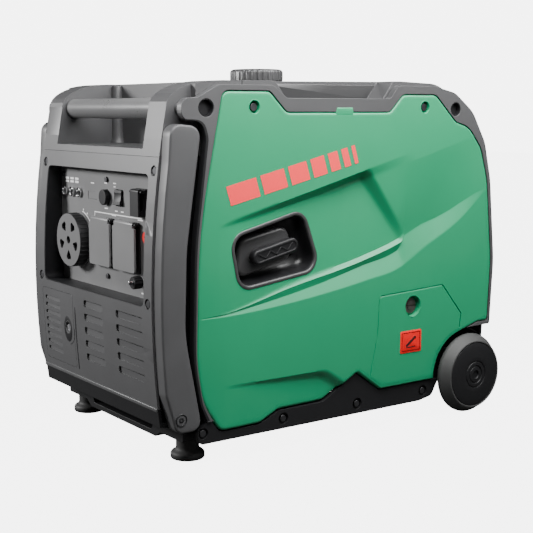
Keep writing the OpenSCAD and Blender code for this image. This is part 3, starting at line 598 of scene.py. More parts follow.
# the part of the crease grid inside an outline and outside the holes; corners that stray over
# those lines are drawn onto them
def pressedSheet(name, outline, holes, side, step=2.6, thick=3.0):
    grid = creaseGrid(step)
    rows, cols = grid.shape[:2]
    pts = grid.reshape(-1, 2).copy()
    quads = gridQuads(rows, cols, False)
    inside, spot = nearest(pts, outline)
    quads = quads[inside[quads].any(1)]
    pts[~inside] = spot[~inside]
    for hole in holes:
        inside, spot = nearest(pts, hole)
        quads = quads[~inside[quads].all(1)]
        pts[inside] = spot[inside]
    d1, d2 = pts[quads[:, 2]] - pts[quads[:, 0]], pts[quads[:, 3]] - pts[quads[:, 1]]
    quads = quads[np.abs(d1[:, 0] * d2[:, 1] - d1[:, 1] * d2[:, 0]) > 0.02]
    used = np.unique(quads)
    index = np.zeros(len(pts), int)
    index[used] = np.arange(len(used))
    pts = pts[used]
    verts = np.stack([side * (case["half"] - panelDepth(pts[:, 0], pts[:, 1])), pts[:, 0], pts[:, 1]], 1)
    return thickSheet(name, verts, index[quads], np.array([-side * thick, 0, 0]))


# a closed border along an outline: (inset, drop) steps over the edge, then back underneath
def pressedRim(name, outline, steps, side, thick=3.0):
    n = outward(outline)
    loop = list(steps) + [(steps[-1][0], thick), (steps[0][0] + 1.5, steps[0][1])]
    rings = []
    for inset, drop in loop:
        ring = outline - n * inset
        rings.append(np.stack([side * (case["half"] - panelDepth(ring[:, 0], ring[:, 1]) - drop),
                               ring[:, 0], ring[:, 1]], 1))
    return closedLoop(name, rings)


# rings joined end to end, the last to the first
def closedLoop(name, rings, sharp=38):
    grid = np.array(rings)
    k, n = grid.shape[:2]
    a = np.arange(k)[:, None] * n + np.arange(n)[None]
    b = np.arange(k)[:, None] * n + (np.arange(n)[None] + 1) % n
    quads = np.stack([a, b, np.roll(b, -1, 0), np.roll(a, -1, 0)], -1).reshape(-1, 4)
    return putMesh(name, grid.reshape(-1, 3), quads, sharp=sharp)


# n points round (y, z) at radius r
def circle(y, z, r, n=48):
    w = fullTurn(n)
    return np.stack([y + r * np.cos(w), z + r * np.sin(w)], 1)


sidePanel = {
    "samples": 620, "rim": [(0, 9), (0, 4.2), (0.25, 2.7), (0.8, 1.5), (1.7, 0.65), (2.9, 0.15), (4.6, 0),
                            (7.4, 0)],
    "screws": [(-169, 504), (158, 504)], "screwR": 10.0, "inset": 7.1,
}
hatchEdge = [(0, 5), (0, 1.6), (0.3, 0.7), (0.9, 0.2), (1.8, 0), (3.2, 0)]
hatchOutline = evenly(arcOutline(hatchCorners), 420)
bezelOutline = smoothOutline(bezelCorners, 300, 14)


# one side panel: the pressed sheet with its holes, and a rounded rim along its outline
def makeSidePanel(word, side, holes):
    outline = evenly(arcOutline(sideCorners), sidePanel["samples"])
    outline = outline - outward(outline) * 0.7
    cuts = [circle(y, z, sidePanel["screwR"]) for y, z in sidePanel["screws"]] + holes
    rim = dress(pressedRim("sideRim" + word, outline, sidePanel["rim"], side), "green", "case")
    sheet = pressedSheet("sidePanel" + word, outline - outward(outline) * sidePanel["inset"], cuts, side)
    return dress(sheet, "green", "case", ("side_panel_" + word.lower(),))


# a round well set in a face, with a rolled lip: seats of screws and catches
def seat(name, place, y, z, r, deep, hole=3.2):
    w = fullTurn(48)
    steps = [(r + 2.2, 2.2), (r + 2.2, 0.25), (r + 1.6, 0.02), (r + 0.9, 0.02), (r + 0.2, 0.5),
             (r - 0.1, 1.6), (r - 0.4, deep - 1), (r - 1.4, deep), (hole, deep), (hole, deep + 1.5),
             (r + 0.2, deep + 1.5), (r + 1.6, 4.0)]
    return closedLoop(name, [place(y + rr * np.cos(w), z + rr * np.sin(w), np.full(len(w), d))
                             for rr, d in steps])


# a pan head with a hexagon socket, facing out along the seat's depth axis
def screwHead(name, place, a, b, r, depth, tall=2.6, socket=2.2):
    w = fullTurn(36)
    hexagon = socket * math.cos(math.pi / 6) / np.cos((w % (math.pi / 3)) - math.pi / 6)
    steps = [(r + 0 * w, tall + 2.0), (r + 0 * w, 1.0), (r * 0.93 + 0 * w, 0.35), (r * 0.75 + 0 * w, 0.0),
             (hexagon * 1.12, 0.0), (hexagon, 0.3), (hexagon * 0.98, 2.2)]
    return skinRings(name, [place(a + rr * np.cos(w), b + rr * np.sin(w), np.full(len(w), depth + d))
                            for rr, d in steps])


makeSidePanel("Right", 1, [hatchOutline + outward(hatchOutline) * 0.5, bezelOutline])
makeSidePanel("Left", -1, [])
for side, word in ((1, "Right"), (-1, "Left")):
    cups = [seat("cup", onSide(side, case["half"] - float(panelDepth(y, z)) + 0.25), y, z,
                 sidePanel["screwR"] - 1.2, 13) for y, z in sidePanel["screws"]]
    dress(join("screwSeats" + word, cups), "green", "case")
    heads = [screwHead("head", onSide(side, 208), y, z, 4.6, 11.0, 1.0) for y, z in sidePanel["screws"]]
    dress(join("panelScrews" + word, heads), "black", "case")
print("side panels made")

# hatch, with its own rounded rim and a well for the catch
hatchCatch = {"y": 138.0, "z": 190.0, "r": 17.0, "deep": 7.0}
hatchIn = hatchOutline - outward(hatchOutline) * 0.7
dress(pressedRim("hatchRim", hatchIn, hatchEdge, 1), "green", "hatch")
hatch = pressedSheet("serviceHatch", hatchIn - outward(hatchIn) * 3.0,
                     [circle(hatchCatch["y"], hatchCatch["z"], hatchCatch["r"])], 1)
dress(hatch, "green", "hatch", ("service_hatch",))
hatchFace = case["half"] - float(panelDepth(hatchCatch["y"], hatchCatch["z"]))
hatchSeat = seat("hatchSeat", onSide(1, hatchFace + 0.2), hatchCatch["y"], hatchCatch["z"],
                 hatchCatch["r"] - 0.8, hatchCatch["deep"] + 4, 7.3)
dress(hatchSeat, "green", "hatch")

# green tab that hooks over the frame at the hand notch
tab = arcOutline([(-24, 490, 2), (12, 490, 2), (10, 503.5, 2), (-20, 503.5, 2)], 5)
for side, word in ((1, "Right"), (-1, "Left")):
    dress(pillow("panelTab" + word, tab, [(0, 3), (0, -0.3), (0.5, -0.8), (1.2, -1.0)], onSide(side)),
          "green", "case")

# starter cup: lip, wall and floor from one outline
lipSteps = [(-0.4, 8), (-0.4, 0.6), (0.1, -0.4), (1.2, -1.0), (3.8, -1.0), (5.0, -0.5), (5.7, 0.6),
            (5.9, 3), (5.9, 8)]
cupSteps = [(5.5, 37), (5.5, 3), (6.1, 2.6), (6.7, 4), (7.7, 12), (9.4, 24), (12.5, 31), (18, 34), (26, 35),
            (40, 35)]
bezelOut = outward(bezelOutline)
# the lip follows the pressed surface, and the wall below it straightens out over its first 30 mm
sunk = np.clip(panelDepth(bezelOutline[:, 0], bezelOutline[:, 1]), -4, 12)


# a ring of the cup: its outline drawn in by an inset, at a depth below the pressed surface
def cupRing(inset, depth):
    ring = bezelOutline - bezelOut * inset
    near = max(0.0, 1 - max(depth, 0) / 30)
    return np.stack([case["half"] - depth - sunk * near, ring[:, 0], ring[:, 1]], 1)


dress(closedLoop("recoilLip", [cupRing(*step) for step in lipSteps], 50), "cap", "case")
dress(skinRings("recoilBezel", [cupRing(*step) for step in cupSteps], 50), "gloss", "case",
      ("recoil_bezel",))
print("starter cup made")

# grip: a rounded pad on a short neck, with raised crossed ribs
grip = {"y": -128.0, "z": 297.0, "tilt": math.radians(13), "half": 41.0, "high": 11.0, "face": 205.0,
        "thick": 14.0}


# a point of the grip's own plane, turned by its tilt and set at its centre
def onGrip(a, b, d):
    ca, sa = math.cos(grip["tilt"]), math.sin(grip["tilt"])
    return np.stack([grip["face"] - d + 0 * a, grip["y"] + a * ca - b * sa + 0 * d,
                     grip["z"] + a * sa + b * ca + 0 * d], -1)


# a bar with round ends at (a, b), turned by an angle
def slantedBar(name, place, a, b, long, wide, angle, high=0.9, under=0.4):
    c, s = math.cos(angle), math.sin(angle)
    box = arcOutline(boxOutline(-long / 2, -wide / 2, long / 2, wide / 2, wide * 0.45), 5)
    outline = np.stack([a + box[:, 0] * c - box[:, 1] * s, b + box[:, 0] * s + box[:, 1] * c], 1)
    return pillow(name, outline, [(0, under), (0, -high + 0.3), (0.3, -high)], place)


gripOutline = smoothOutline(boxOutline(-grip["half"], -grip["high"], grip["half"], grip["high"], 10.4),
                            120, 12)
padProfile = [(4, grip["thick"]), (1, grip["thick"] - 1)] + roundEdge(3.2)
padProfile += [(4.4, 0.0), (5.0, 0.7), (5.6, 0.8)]
gripParts = [pillow("pad", gripOutline, padProfile, onGrip)]
neckOutline = smoothOutline(boxOutline(-14, -8, 14, 8, 6), 60, 8)
gripParts.append(pillow("neck", neckOutline, [(0, 24), (0, grip["thick"] - 1)], onGrip))
for i in range(6):
    gripParts.append(slantedBar("rib", onGrip, -25 + i * 10, 0, 15, 1.7, math.radians(38 if i % 2 else -38),
                                0.1, 1.6))
dress(join("recoilGrip", gripParts), "black", "starter_grip", ("recoil_grip",))

# guide block of the rope, inside the cup
blockOutline = smoothOutline([(-188, 258, 14), (-90, 282, 10), (-92, 334, 18), (-184, 316, 20)], 120, 8)
dress(pillow("ropeGuide", blockOutline, [(0, 36), (0, 24)] + [(i, 19.5 + d) for i, d in roundEdge(6)],
             onSide(1)), "cap", "case")
print("grip made")

# decal: an abstract run of slanted bars that thin out, laid on the pressed surface
decal = {"from": (-214, 381), "slope": 0.232, "high": 27.0, "lean": -0.30,
         "bars": [50, 41, 33, 25, 18, 12, 7], "gap": 7.5, "lift": 0.35}


# a run of slanted bars, each a thin sheet that lies on the pressed surface
def makeDecal(name, side):
    parts, along = [], 0.0
    for wide in decal["bars"]:
        u = np.linspace(0, wide, 14)[:, None] + along
        v = np.linspace(-0.5, 0.5, 8)[None] * decal["high"]
        y = decal["from"][0] + u + decal["lean"] * v + 0 * v
        z = decal["from"][1] + decal["slope"] * u + v + 0 * u
        front = np.stack([side * (case["half"] - panelDepth(y, z) + decal["lift"]), y, z], -1)
        back = front - np.array([side * 0.3, 0, 0])
        rows, cols = y.shape
        edge = np.concatenate([np.arange(cols), np.arange(1, rows) * cols + cols - 1,
                               (rows - 1) * cols + np.arange(cols - 2, -1, -1),
                               np.arange(rows - 2, 0, -1) * cols])
        q = gridQuads(rows, cols, False)
        rim = np.stack([edge, np.roll(edge, -1), np.roll(edge, -1) + rows * cols, edge + rows * cols], 1)
        quads = np.concatenate([q, q[:, ::-1] + rows * cols, rim[:, ::-1]])
        parts.append(putMesh("bar", np.concatenate([front.reshape(-1, 3), back.reshape(-1, 3)]), quads))
        along += wide + decal["gap"]
    return dress(join(name, parts), "decal", "case")


makeDecal("sideStripeRight", 1)
makeDecal("sideStripeLeft", -1)

# plain label on the hatch: a red square with a thin dark frame and two bars
label = {"y": (112, 157), "z": (115, 151)}
labelFace = case["half"] - float(panelDepth(134, 133))
square = smoothOutline(boxOutline(label["y"][0], label["z"][0], label["y"][1], label["z"][1], 1.5), 60, 4)
dress(pillow("hatchLabel", square, [(0, 1.5), (0, 0.1), (0.2, 0)], onSide(1, labelFace + 0.5)), "label",
      "hatch")


# four thin bars round the box from (a0, b0) to (a1, b1)
def frameLine(name, place, a0, b0, a1, b1, wide, depth=-0.1):
    w = wide
    sides = [(a0, b0, a1, b0 + w), (a0, b1 - w, a1, b1), (a0, b0 + w, a0 + w, b1 - w),
             (a1 - w, b0 + w, a1, b1 - w)]
    return join(name, [pillow("side", arcOutline(boxOutline(*s, 0.2), 2), [(0, 0.2), (0, depth)], place)
                       for s in sides])


labelMarks = [frameLine("edge", onSide(1, labelFace + 0.5), 115, 118, 154, 148, 1.0),
              slantedBar("mark", onSide(1, labelFace + 0.5), 134.5, 133, 26, 5, math.radians(35), 0.1, 0.2),
              slantedBar("mark", onSide(1, labelFace + 0.5), 134.5, 124, 20, 2.4, 0, 0.1, 0.2)]
dress(join("hatchLabelMarks", labelMarks), "labelInk", "hatch")
print("decals made")

# Corner covers, with the fittings of the side frames beside them.

cheekCorners = [(-300, 53, 14), (-258, 53, 14), (-264, 88, 40), (-284, 190, 200), (-280, 310, 300),
                (-255, 478, 17), (-304, 483, 17)]
cheekCorners += [(float(frontY(z)) + 3, z, 0) for z in range(430, 100, -40)]
cheekOutline = smoothOutline(cheekCorners, 300, 12)
cheekProfile = [(3, 22.4), (0.3, 22.4), (0, 21)]
cheekProfile += [(i, 1 + d) for i, d in roundEdge(3.6, 8)]
cheekProfile += [(6, 0.8), (11, 0.7)]
cheek = pillow("cornerCoverRight", cheekOutline, cheekProfile, onSide(1))
# wells with a screw in the corner covers, and plugs in the frame's two round holes
wellProfile = [(9.2, 0), (9.2, 1.3), (8.6, 1.9), (7.6, 1.7), (7.2, 0.9), (6.9, 0.4), (4.2, 0.4), (4.0, 1.3),
               (3.2, 1.6), (1.6, 1.6), (1.4, 0.9), (0.4, 0.9)]
for side, word in ((1, "Right"), (-1, "Left")):
    well = lathe("coverScrew" + word, wellProfile, (0, 0, 0), "x", 48)
    shiftMesh(well, (206.2, -293, 73), side)
    dress(well, "black", "case")
    plugs = [lathe("plug", [(r - 0.3, 0), (r - 0.3, 7.4), (r - 1.0, 7.6), (r - 1.4, 1.2), (1, 1.2)],
                   (0, 0, 0), "x", 48) for r in (12.5, 11)]
    for plug, y, z in zip(plugs, (-249, 226), (503, 501)):
        shiftMesh(plug, (199.6, y, z), side)
    dress(join("frameHoles" + word, plugs), "black", "case")

# black lining of the side frame's front edge, along the channel
channelEdge = [(-284, 486.6, 2), (-256, 484.8, 16), (-249, 462, 30), (-269, 310, 600), (-273, 150, 250),
               (-262, 90, 60), (-251, 65, 0), (-246.4, 65, 0), (-258.4, 90, 60), (-269.2, 150, 250),
               (-265.2, 310, 600), (-244.8, 462, 30), (-252, 486.8, 18), (-284, 488.2, 0.5)]
channelOutline = smoothOutline(channelEdge, 500, 8)
lining = pillow("channelLiningRight", channelOutline, [(-0.1, 11.4), (-0.1, 0.4), (0.2, -0.1)], onSide(1))
dress(mirrored("channelLiningLeft", lining), "black", "case")
dress(lining, "black", "case")
dress(mirrored("cornerCoverLeft", cheek), "case", "case", ("corner_cover_left",))
dress(cheek, "case", "case", ("corner_cover_right",))
print("corner covers made")

# Wheels and their liners.

tyreProfile = [(50.5, 210.4), (60, 210), (64, 211), (65.6, 213), (66, 215.5), (66, 217.5), (65.4, 219.2),
               (64, 220.8), (57.5, 231.2), (56.2, 232.9), (54.6, 233.4), (53.4, 233), (53.2, 231.5),
               (53.2, 229), (50.5, 229)]
discProfile = [(6.3, 202), (14, 202), (14, 214), (50.3, 214.5), (52.9, 228), (52.9, 231.6), (52.2, 232.8),
               (50, 233.4), (40, 234.4), (30, 235.1), (23.4, 235.4), (22.8, 235.2), (22.4, 234.4),
               (21.4, 234.2), (20.8, 234.6), (20.4, 235.4), (15.6, 235.6), (15.0, 235.2), (14.6, 234.2),
               (13.6, 234.0), (13.0, 234.4), (12.6, 235.4), (7.2, 235.9), (6.8, 235.4), (6.4, 233.6),
               (1, 233.4)]
wheelCentre = (0, case["axleY"], case["axleZ"])
tyre = lathe("tyreRight", tyreProfile + tyreProfile[:1], wheelCentre, "x", 128)
disc = lathe("wheelDiscRight", discProfile, wheelCentre, "x", 128)
dress(mirrored("tyreLeft", tyre), "tyre", "wheel_left", ("tyre_left",))
dress(mirrored("wheelDiscLeft", disc), "black", "wheel_left", ("wheel_disc_left",))
dress(tyre, "tyre", "wheel_right", ("tyre_right",))
dress(disc, "black", "wheel_right", ("wheel_disc_right",))
print("wheels made")

# black liners over the wheels: an arched roof with an inner wall as one closed skin, then a guard
# that fills the gap in front of the tyre and a wall behind it
liner = {"r": 71.6, "thick": 2.4, "from": 55, "to": 196, "in": 148.0, "out": 195.6}
w = np.radians(np.linspace(liner["from"], liner["to"], 40))


# the liner's arc at radius r and one x
def linerRing(r, x):
    return np.stack([x + 0 * w, case["axleY"] + r * np.cos(w), case["axleZ"] + r * np.sin(w)], 1)


inner, outer, thick = liner["r"], liner["r"] + liner["thick"], liner["thick"]
section = [(outer, liner["out"]), (inner, liner["out"]), (inner, liner["in"] + thick),
           (11, liner["in"] + thick), (11, liner["in"]), (outer, liner["in"])]
arch = np.array([linerRing(*step) for step in section])
k, n = arch.shape[:2]
a = np.arange(k)[:, None] * n + np.arange(n - 1)[None]
b = np.roll(np.arange(k), -1)[:, None] * n + np.arange(n - 1)[None]
archQuads = np.stack([a, b, b + 1, a + 1], -1).reshape(-1, 4)
linerRight = putMesh("wheelLinerRight", arch.reshape(-1, 3), archQuads,
                     [np.arange(k) * n, np.arange(k)[::-1] * n + n - 1])
guardOutline = smoothOutline([(182, 52, 3), (196, 52, 3), (202, 76, 8), (206, 112, 20), (222, 134, 10),
                              (212, 142, 4), (186, 110, 20), (182, 74, 10)], 120, 6)
guard = pillow("guard", guardOutline, [(0.6, 12.5), (0, 12), (0, 9.6), (0.6, 9.2)], onSide(1))
backing = smoothOutline([(176, 37, 4), (258, 37, 12), (312, 104, 8), (312, 141, 3), (179, 141, 3)], 140, 6)
linerRight = join("wheelLinerRight",
                  [linerRight, guard, pillow("wall", backing,
                                             [(0.4, 60.6), (0, 60.2), (0, 58.4), (0.4, 58)], onSide(1))])
dress(mirrored("wheelLinerLeft", linerRight), "black", "case")
dress(linerRight, "black", "case")

# Fuel cap.

capStep = {"y": -19.0, "r": 42.8, "top": 565.0, "ribs": 30, "rib": 1.3}
w = fullTurn(480)
ribWave = np.clip(np.cos(w * capStep["ribs"]) * 2.2, -1, 1)
ribbed = capStep["r"] - capStep["rib"] * ribWave * 0.5 - capStep["rib"] * 0.5
capSteps = [(31.5, 544.6, 0), (40.6, 544.6, 0), (41.4, 545.2, 0), (41.6, 546.4, 0.1), (42.8, 547.4, 1),
            (42.8, 559.5, 1), (42.4, 561.4, 0.9), (41.2, 563, 0.6), (39.4, 564.2, 0.2), (37, 564.8, 0),
            (33, 565, 0), (31.6, 564.7, 0), (30.4, 563.9, 0), (29, 563.7, 0), (4, 563.7, 0)]
capRings = [np.stack([(r - (capStep["r"] - ribbed) * k) * np.cos(w),
                      capStep["y"] + (r - (capStep["r"] - ribbed) * k) * np.sin(w),
                      np.full(len(w), float(h))], 1) for r, h, k in capSteps]
capBar = pillow("capBar", smoothOutline(boxOutline(-31, capStep["y"] - 8, 31, capStep["y"] + 8, 5), 80, 6),
                [(0, 2.2), (0, 1.0), (0.6, 0.3), (1.6, 0)], onTop(capStep["top"] - 0.1))
dress(join("fuelCap", [skinRings("cap", capRings), capBar]), "cap", "cap", ("fuel_cap",))

# Louvres, ledge, window and the prints of the control plate.

# a point (a, b) on the bowed front, at a depth d behind it
def onBow(a, b, d):
    return np.stack([a + 0 * d, frontY(b) + d, b + 0 * d], -1)


# the floor of a louvre: deepest at its left and upper edges, level with the face at the right
def louvreFloor(name, x0, x1, z0, high, slope):
    outline = smoothOutline(boxOutline(x0 + 0.05, z0 + 0.05, x1 - 0.05, z0 + high * 0.86, 2.2), 72, 5)

    def place(a, b, d):
        across, up = (a - x0) / (x1 - x0), (b - z0) / high
        deep = 0.35 + slope[0] * (1 - across) + slope[1] * up
        return np.stack([a, frontY(b) + deep + d, b], -1)
    return pillow(name, outline, [(0, 1.2), (0, 0), (1.2, 0)], place)


louvre = {"middle": (-24, 38), "right": (79, 158), "door": (-161, -108), "z": 120.0, "pitch": 20.7,
          "high": 11.0}
floors = [louvreFloor("floor", *louvre["right"], louvre["z"] + i * louvre["pitch"], louvre["high"],
                      (2.4, 0.0)) for i in range(5)]
floors += [louvreFloor("floor", *louvre["middle"], louvre["z"] + i * louvre["pitch"], louvre["high"],
                       (1.8, 1.0)) for i in range(5)]
dress(join("louvreFloors", floors), "case", "case")
doorFloors = [louvreFloor("floor", *louvre["door"], 114 + i * 12, 6, (1.2, 0.8)) for i in range(8)]
dress(join("doorLouvreFloors", doorFloors), "case", "battery_cover")
ledge = arcOutline([(-318.6, 82.5, 1.2), (-311, 82.5, 0.5), (-311, 88.4, 0.5), (-318.9, 88.4, 1.6)], 5)
dress(pillow("frontLedge", ledge, [(1, 0), (0.3, 0.3), (0, 1), (0, 365), (0.3, 365.7), (1, 366)],
             onSide(1, 183)), "case", "case")
groove = smoothOutline(boxOutline(-56.6, 99, -54.0, 198, 1.2), 120, 4)
dress(pillow("fieldGroove", groove, [(0, 1), (0, -0.25), (0.4, -0.32)], onBow), "black", "case")

plateFace = onFront(-291.0)

# black sleeve inside the window's walls: partly the walls' own black plastic, partly painted shade on them
windowOutline = smoothOutline(boxOutline(-162, 229, 162, 413, 10), 240, 8)
windowOut = outward(windowOutline)


# the window's outline drawn in by an inset, at one y
def windowRing(inset, y):
    ring = windowOutline - windowOut * inset
    return np.stack([ring[:, 0], y + 0 * ring[:, 0], ring[:, 1]], 1)


brow = frontY(windowOutline[:, 1])
sleeve = [windowRing(0.15, brow + 2.2), windowRing(0.5, brow + 1.4), windowRing(1.0, brow + 1.9),
          windowRing(1.0, -291.6), windowRing(0.15, -291.6)]
dress(closedLoop("windowSleeve", sleeve), "black", "case")

# a black ring round the battery door's catch, almost flush, that paints in the shade of the recess the
# catch sits in, and the arc that marks its turn
catch = {"x": -83.0, "z": 163.0, "out": 14.0, "in": 8.4}
w = fullTurn(60)
ringSteps = [(catch["out"], 1.5, 1.2), (catch["out"], 1.5, 0.1), (catch["out"] - 0.8, 1.5, -0.35),
             (catch["in"] + 1.4, 1.1, -0.35), (catch["in"], 1.05, 1.4), (catch["in"], 1.05, 1.8)]
catchRing = closedLoop("ring",
                       [onBow(catch["x"] + r * np.cos(w),
                              catch["z"] + tall * r * np.sin(w) - 8 * (tall - 1.05), np.full(len(w), d))
                        for r, tall, d in ringSteps])
arcTurn = np.radians(np.linspace(-80, 15, 24))
arcLine = np.concatenate([np.stack([catch["x"] + r * np.cos(t), catch["z"] - 6 + r * np.sin(t)], 1)
                          for r, t in ((22.6, arcTurn), (21.6, arcTurn[::-1]))])
arcMark = pillow("arc", arcLine, [(0, 0.5), (0, -0.2)], onBow)
dress(join("catchSurround", [catchRing, arcMark]), "black", "battery_cover")


# a printed bar on the control plate
def printBar(x0, z0, x1, z1, r=0.3):
    return pillow("bar", arcOutline(boxOutline(x0, z0, x1, z1, r), 2), [(0, 0.3), (0, -0.12)], plateFace)


# a printed arc about a centre, from angle w0 to w1 in degrees, clockwise from straight up
def printArc(cx, cz, r, wide, w0, w1):
    w = np.radians(np.linspace(w0, w1, 40))
    outer = np.stack([cx + (r + wide) * np.sin(w), cz + (r + wide) * np.cos(w)], 1)
    inner = np.stack([cx + r * np.sin(w), cz + r * np.cos(w)], 1)[::-1]
    return pillow("arc", np.concatenate([outer, inner])[::-1], [(0, 0.3), (0, -0.12)], plateFace)


marks = [printBar(-146 + c * 17, 386 + r * 5, -134 + c * 17, 389.4 + r * 5) for c in range(3)
         for r in range(2)]
marks += [printBar(x - w / 2, z, x + w / 2, z + 1.8)
          for x, z, w in ((-52, 388, 11), (-8, 390, 9), (20, 391, 9), (20, 386, 6), (-8, 352, 10),
                          (24, 350, 8), (42, 350, 8), (16, 343, 13), (96, 342, 15), (100, 236, 7))]
marks += [printArc(-98, 298, 45, 1.3, 12, 82)]
marks += [printArc(-98, 298, 47.5, 3.2, w, w + 2.4) for w in (14, 30, 46, 62, 78)]
marks += [printArc(-98, 298, 45.5, 2.4, w, w + 3) for w in (96, 108, 120)]
marks += [printBar(-47, 344.5, 100, 346), printBar(-47, 338, -45.6, 344.5)]
dress(join("panelPrints", marks), "print", "case")
print("front details made")

# Handle, feet and the back of the case.

# sleeve of the carrying bar, with a small rounded end on each side
gripEnd = 136.2
gripBar = [(8.2, -gripEnd), (14.2, -gripEnd), (15, -gripEnd + 1)]
gripBar += [(15, x) for x in np.linspace(-gripEnd + 3, gripEnd - 3, 30)]
gripBar += [(15, gripEnd - 1), (14.2, gripEnd), (8.2, gripEnd)]
dress(lathe("handleGrip", gripBar + gripBar[:1], (0, -277, 502), "x", 64), "bar", "case",
      ("handle_grip",))
# rounded columns in the corners of the hand recess, and darker plates laid over the inner walls of the hand
# notches: painted shade
columnProfile = [(0.5, 447.2), (14, 447.2), (12, 451), (10.8, 456), (10.2, 470), (9.6, 536), (8.6, 538.4),
                 (0.5, 538.6)]
columns = [lathe("column", columnProfile, (s * 134, -201, 0), "z", 48)
           for s in (-1, 1)]
dress(join("recessColumns", columns), "case", "case")
# each notch's inner wall gets a darker plastic plate just in front of it, which paints in the shade inside
# the notch
notchBack = arcOutline([(-103, 516.4, 1), (79, 516.4, 1), (97, 538, 1), (-121, 538, 1)], 4)
backs = [pillow("back", notchBack, [(0, 50.0), (0, 49.7), (0.3, 49.5)], onSide(1))]
backs.append(mirrored("back", backs[0]))
dress(join("notchPaintedShade", backs), "cap", "case")
footProfile = [(0.5, 0), (22, 0), (24, 0.8), (25, 2.4), (25, 7.5), (24.2, 9.6), (22.4, 11.4), (19, 13.2),
               (17.4, 15.4), (17, 18), (17, 31), (5, 31)]
feet = [lathe("foot", footProfile, (s * 157, -253, 0), "z", 72) for s in (-1, 1)]
dress(join("feetPair", feet), "rubber", "case", ("feet",))
# screws of the rear cover, at the bottom of their holes
rearHeads = [screwHead("head", onRear(326), s * 178, z, 5.2, depth)
             for s in (-1, 1) for z, depth in ((130, 11.2), (420, 20.6))]
dress(join("rearScrews", rearHeads), "screw", "case")
# a dark sheet behind the rear louvres, standing in as painted shade for the shaded inside of the case, so
# that nobody looks right through the case
screen = arcOutline([(-168, 92, 6), (168, 92, 6), (168, 404, 6), (-168, 404, 6)], 6)
dress(pillow("rearShadeScreen", screen, [(0, 0), (0, 0.8), (0.2, 1.0)], onRear(294)), "black", "case")
print("cap, grip and feet made")

# Nodes that keep the shape of the frame: a material and the width of the rounded edge.

plain = {
    "side_frame_right": ("case", 2.2), "side_frame_left": ("case", 2.2), "top_cowl": ("case", 3.0),
    "top_cover": ("case", 0.9), "rear_cover": ("case", 1.2), "front_panel": ("case", 1.2),
    "battery_door": ("case", 0.8), "control_plate": ("plate", 0.4), "base_tray": ("black", 1.2),
    "front_crossmember": ("black", 1.5), "front_skirt": ("black", 1.0), "channel_liners": ("black", 0),
    "axle": ("steel", 0.5), "axle_brackets": ("painted", 0.8), "exhaust_outlet": ("iron", 0.6),
    "handle_tube": ("painted", 0.5), "engine_dial": ("dial", 0.7), "indicator_lamps": ("chrome", 0.3),
    "display_window": ("plate", 0.3), "start_button": ("black", 1.0), "rocker_switch": ("black", 0.6),
    "dc_outlet": ("black", 0.6), "dc_cover": ("black", 0.6), "mains_outlets": ("black", 0.6),
    "outlet_cover_left": ("plate", 0.9), "outlet_cover_right": ("plate", 0.9),
    "parallel_jacks": ("red", 0.5), "ground_stud": ("chrome", 0.4), "ground_nut": ("black", 0.4),
    "battery_latch": ("steel", 0.6), "hatch_latch": ("iron", 0.6), "recoil_rope": ("rubber", 0),
    "recoil_housing": ("black", 0.8), "recoil_pulley": ("black", 0.4), "cap_gasket": ("rubber", 0.3),
    "fuel_tank": ("black", 1.0), "engine_block": ("alloy", 1.0), "crank_rotor": ("steel", 0.5),
    "stator": ("copper", 0.4), "muffler": ("iron", 0.8), "air_cleaner": ("black", 1.0),
    "carburettor": ("alloy", 0.6), "inverter_module": ("alloy", 0.4), "battery": ("black", 1.0),
    "oil_dipstick": ("black", 0.8), "case_screws": ("screw", 0.4),
}
for node, (material, edge) in plain.items():
    finishNode(node, material, edge, node != "top_cover")
print("frame nodes dressed")

# Floor, light and camera.

stage = {"reach": 9000, "seen": 5.6, "seenWorld": 5.9, "fill": 0.07, "bounce": 0.05}

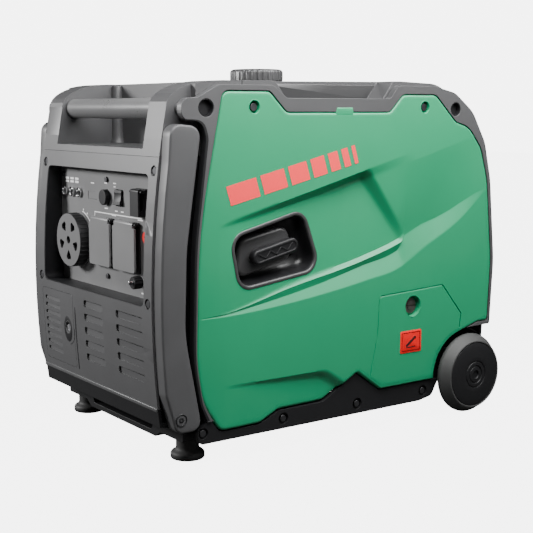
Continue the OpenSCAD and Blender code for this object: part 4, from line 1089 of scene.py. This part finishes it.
# the floor is a plain pale sheet to the eye, and sends little light back up at the object
floorPaint = Paint("paleFloor")
tree = floorPaint.tree
mottle = floorPaint.noise(600, 2.0)
floorPaint.use(Base_Color=floorPaint.blend(mottle, rgb(*[stage["bounce"]] * 3),
                                           rgb(*[stage["bounce"] * 1.03] * 3)), Roughness=0.9)
glow = floorPaint.node("ShaderNodeEmission", Color=rgb(1.0, 1.0, 1.0), Strength=stage["seen"])
pale = floorPaint.node("ShaderNodeAddShader", i0=glow, i1=Sock(floorPaint, floorPaint.shader.outputs[0]))
eye = floorPaint.node("ShaderNodeLightPath", out="Is Camera Ray")
shade = floorPaint.node("ShaderNodeMixShader", i0=eye, i1=Sock(floorPaint, floorPaint.shader.outputs[0]),
                        i2=pale)
tree.links.new(shade.out, tree.nodes["Material Output"].inputs["Surface"])
reach = stage["reach"]
floor = putMesh("floor", [(-reach, -reach, -0.2), (reach, -reach, -0.2), (reach, reach, -0.2),
                          (-reach, reach, -0.2)], [(0, 1, 2, 3)], closed=False, sharp=0)
floor.data.materials.append(floorPaint.material)

world = bpy.data.worlds.new("studio")
world.use_nodes = True
back = world.node_tree.nodes["Background"]
back.inputs["Color"].default_value = (1.0, 1.0, 1.0, 1)
ray = world.node_tree.nodes.new("ShaderNodeLightPath")
level = world.node_tree.nodes.new("ShaderNodeMapRange")
level.inputs["To Min"].default_value = stage["fill"]
level.inputs["To Max"].default_value = stage["seenWorld"]
world.node_tree.links.new(ray.outputs["Is Camera Ray"], level.inputs["Value"])
world.node_tree.links.new(level.outputs[0], back.inputs["Strength"])
bpy.context.scene.world = world


# a rectangular lamp at a place, turned so that its face looks at the target
def areaLight(name, place, target, wide, tall, power):
    data = bpy.data.lights.new(name, "AREA")
    data.shape, data.size, data.size_y, data.energy = "RECTANGLE", wide, tall, power
    lamp = showData(name, data)
    d = np.array(target, float) - np.array(place, float)
    lamp.location = place
    lamp.rotation_euler = (math.atan2(math.hypot(d[0], d[1]), -d[2]), 0, math.atan2(-d[0], d[1]))


areaLight("keyTop", (0.55, 0.0, 1.02), (0.24, 0.0, 0.3), 1.5, 0.5, 34)
areaLight("frontKey", (-1.45, -1.9, 1.0), (0, -0.3, 0.3), 0.5, 0.5, 82)
areaLight("sideSheen", (2.3, 1.4, 1.5), (0.2, 0, 0.4), 1.2, 1.2, 16)

camera = showData("camera", bpy.data.cameras.new("camera"))
camera.data.lens, camera.data.sensor_width, camera.data.clip_end = 74.57, 36.0, 50.0
camera.location = (1.4843, -1.0654, 0.500)
camera.rotation_euler = (math.radians(90 - 8.07), 0, math.radians(54.3))
bpy.context.scene.camera = camera

print("stage set")
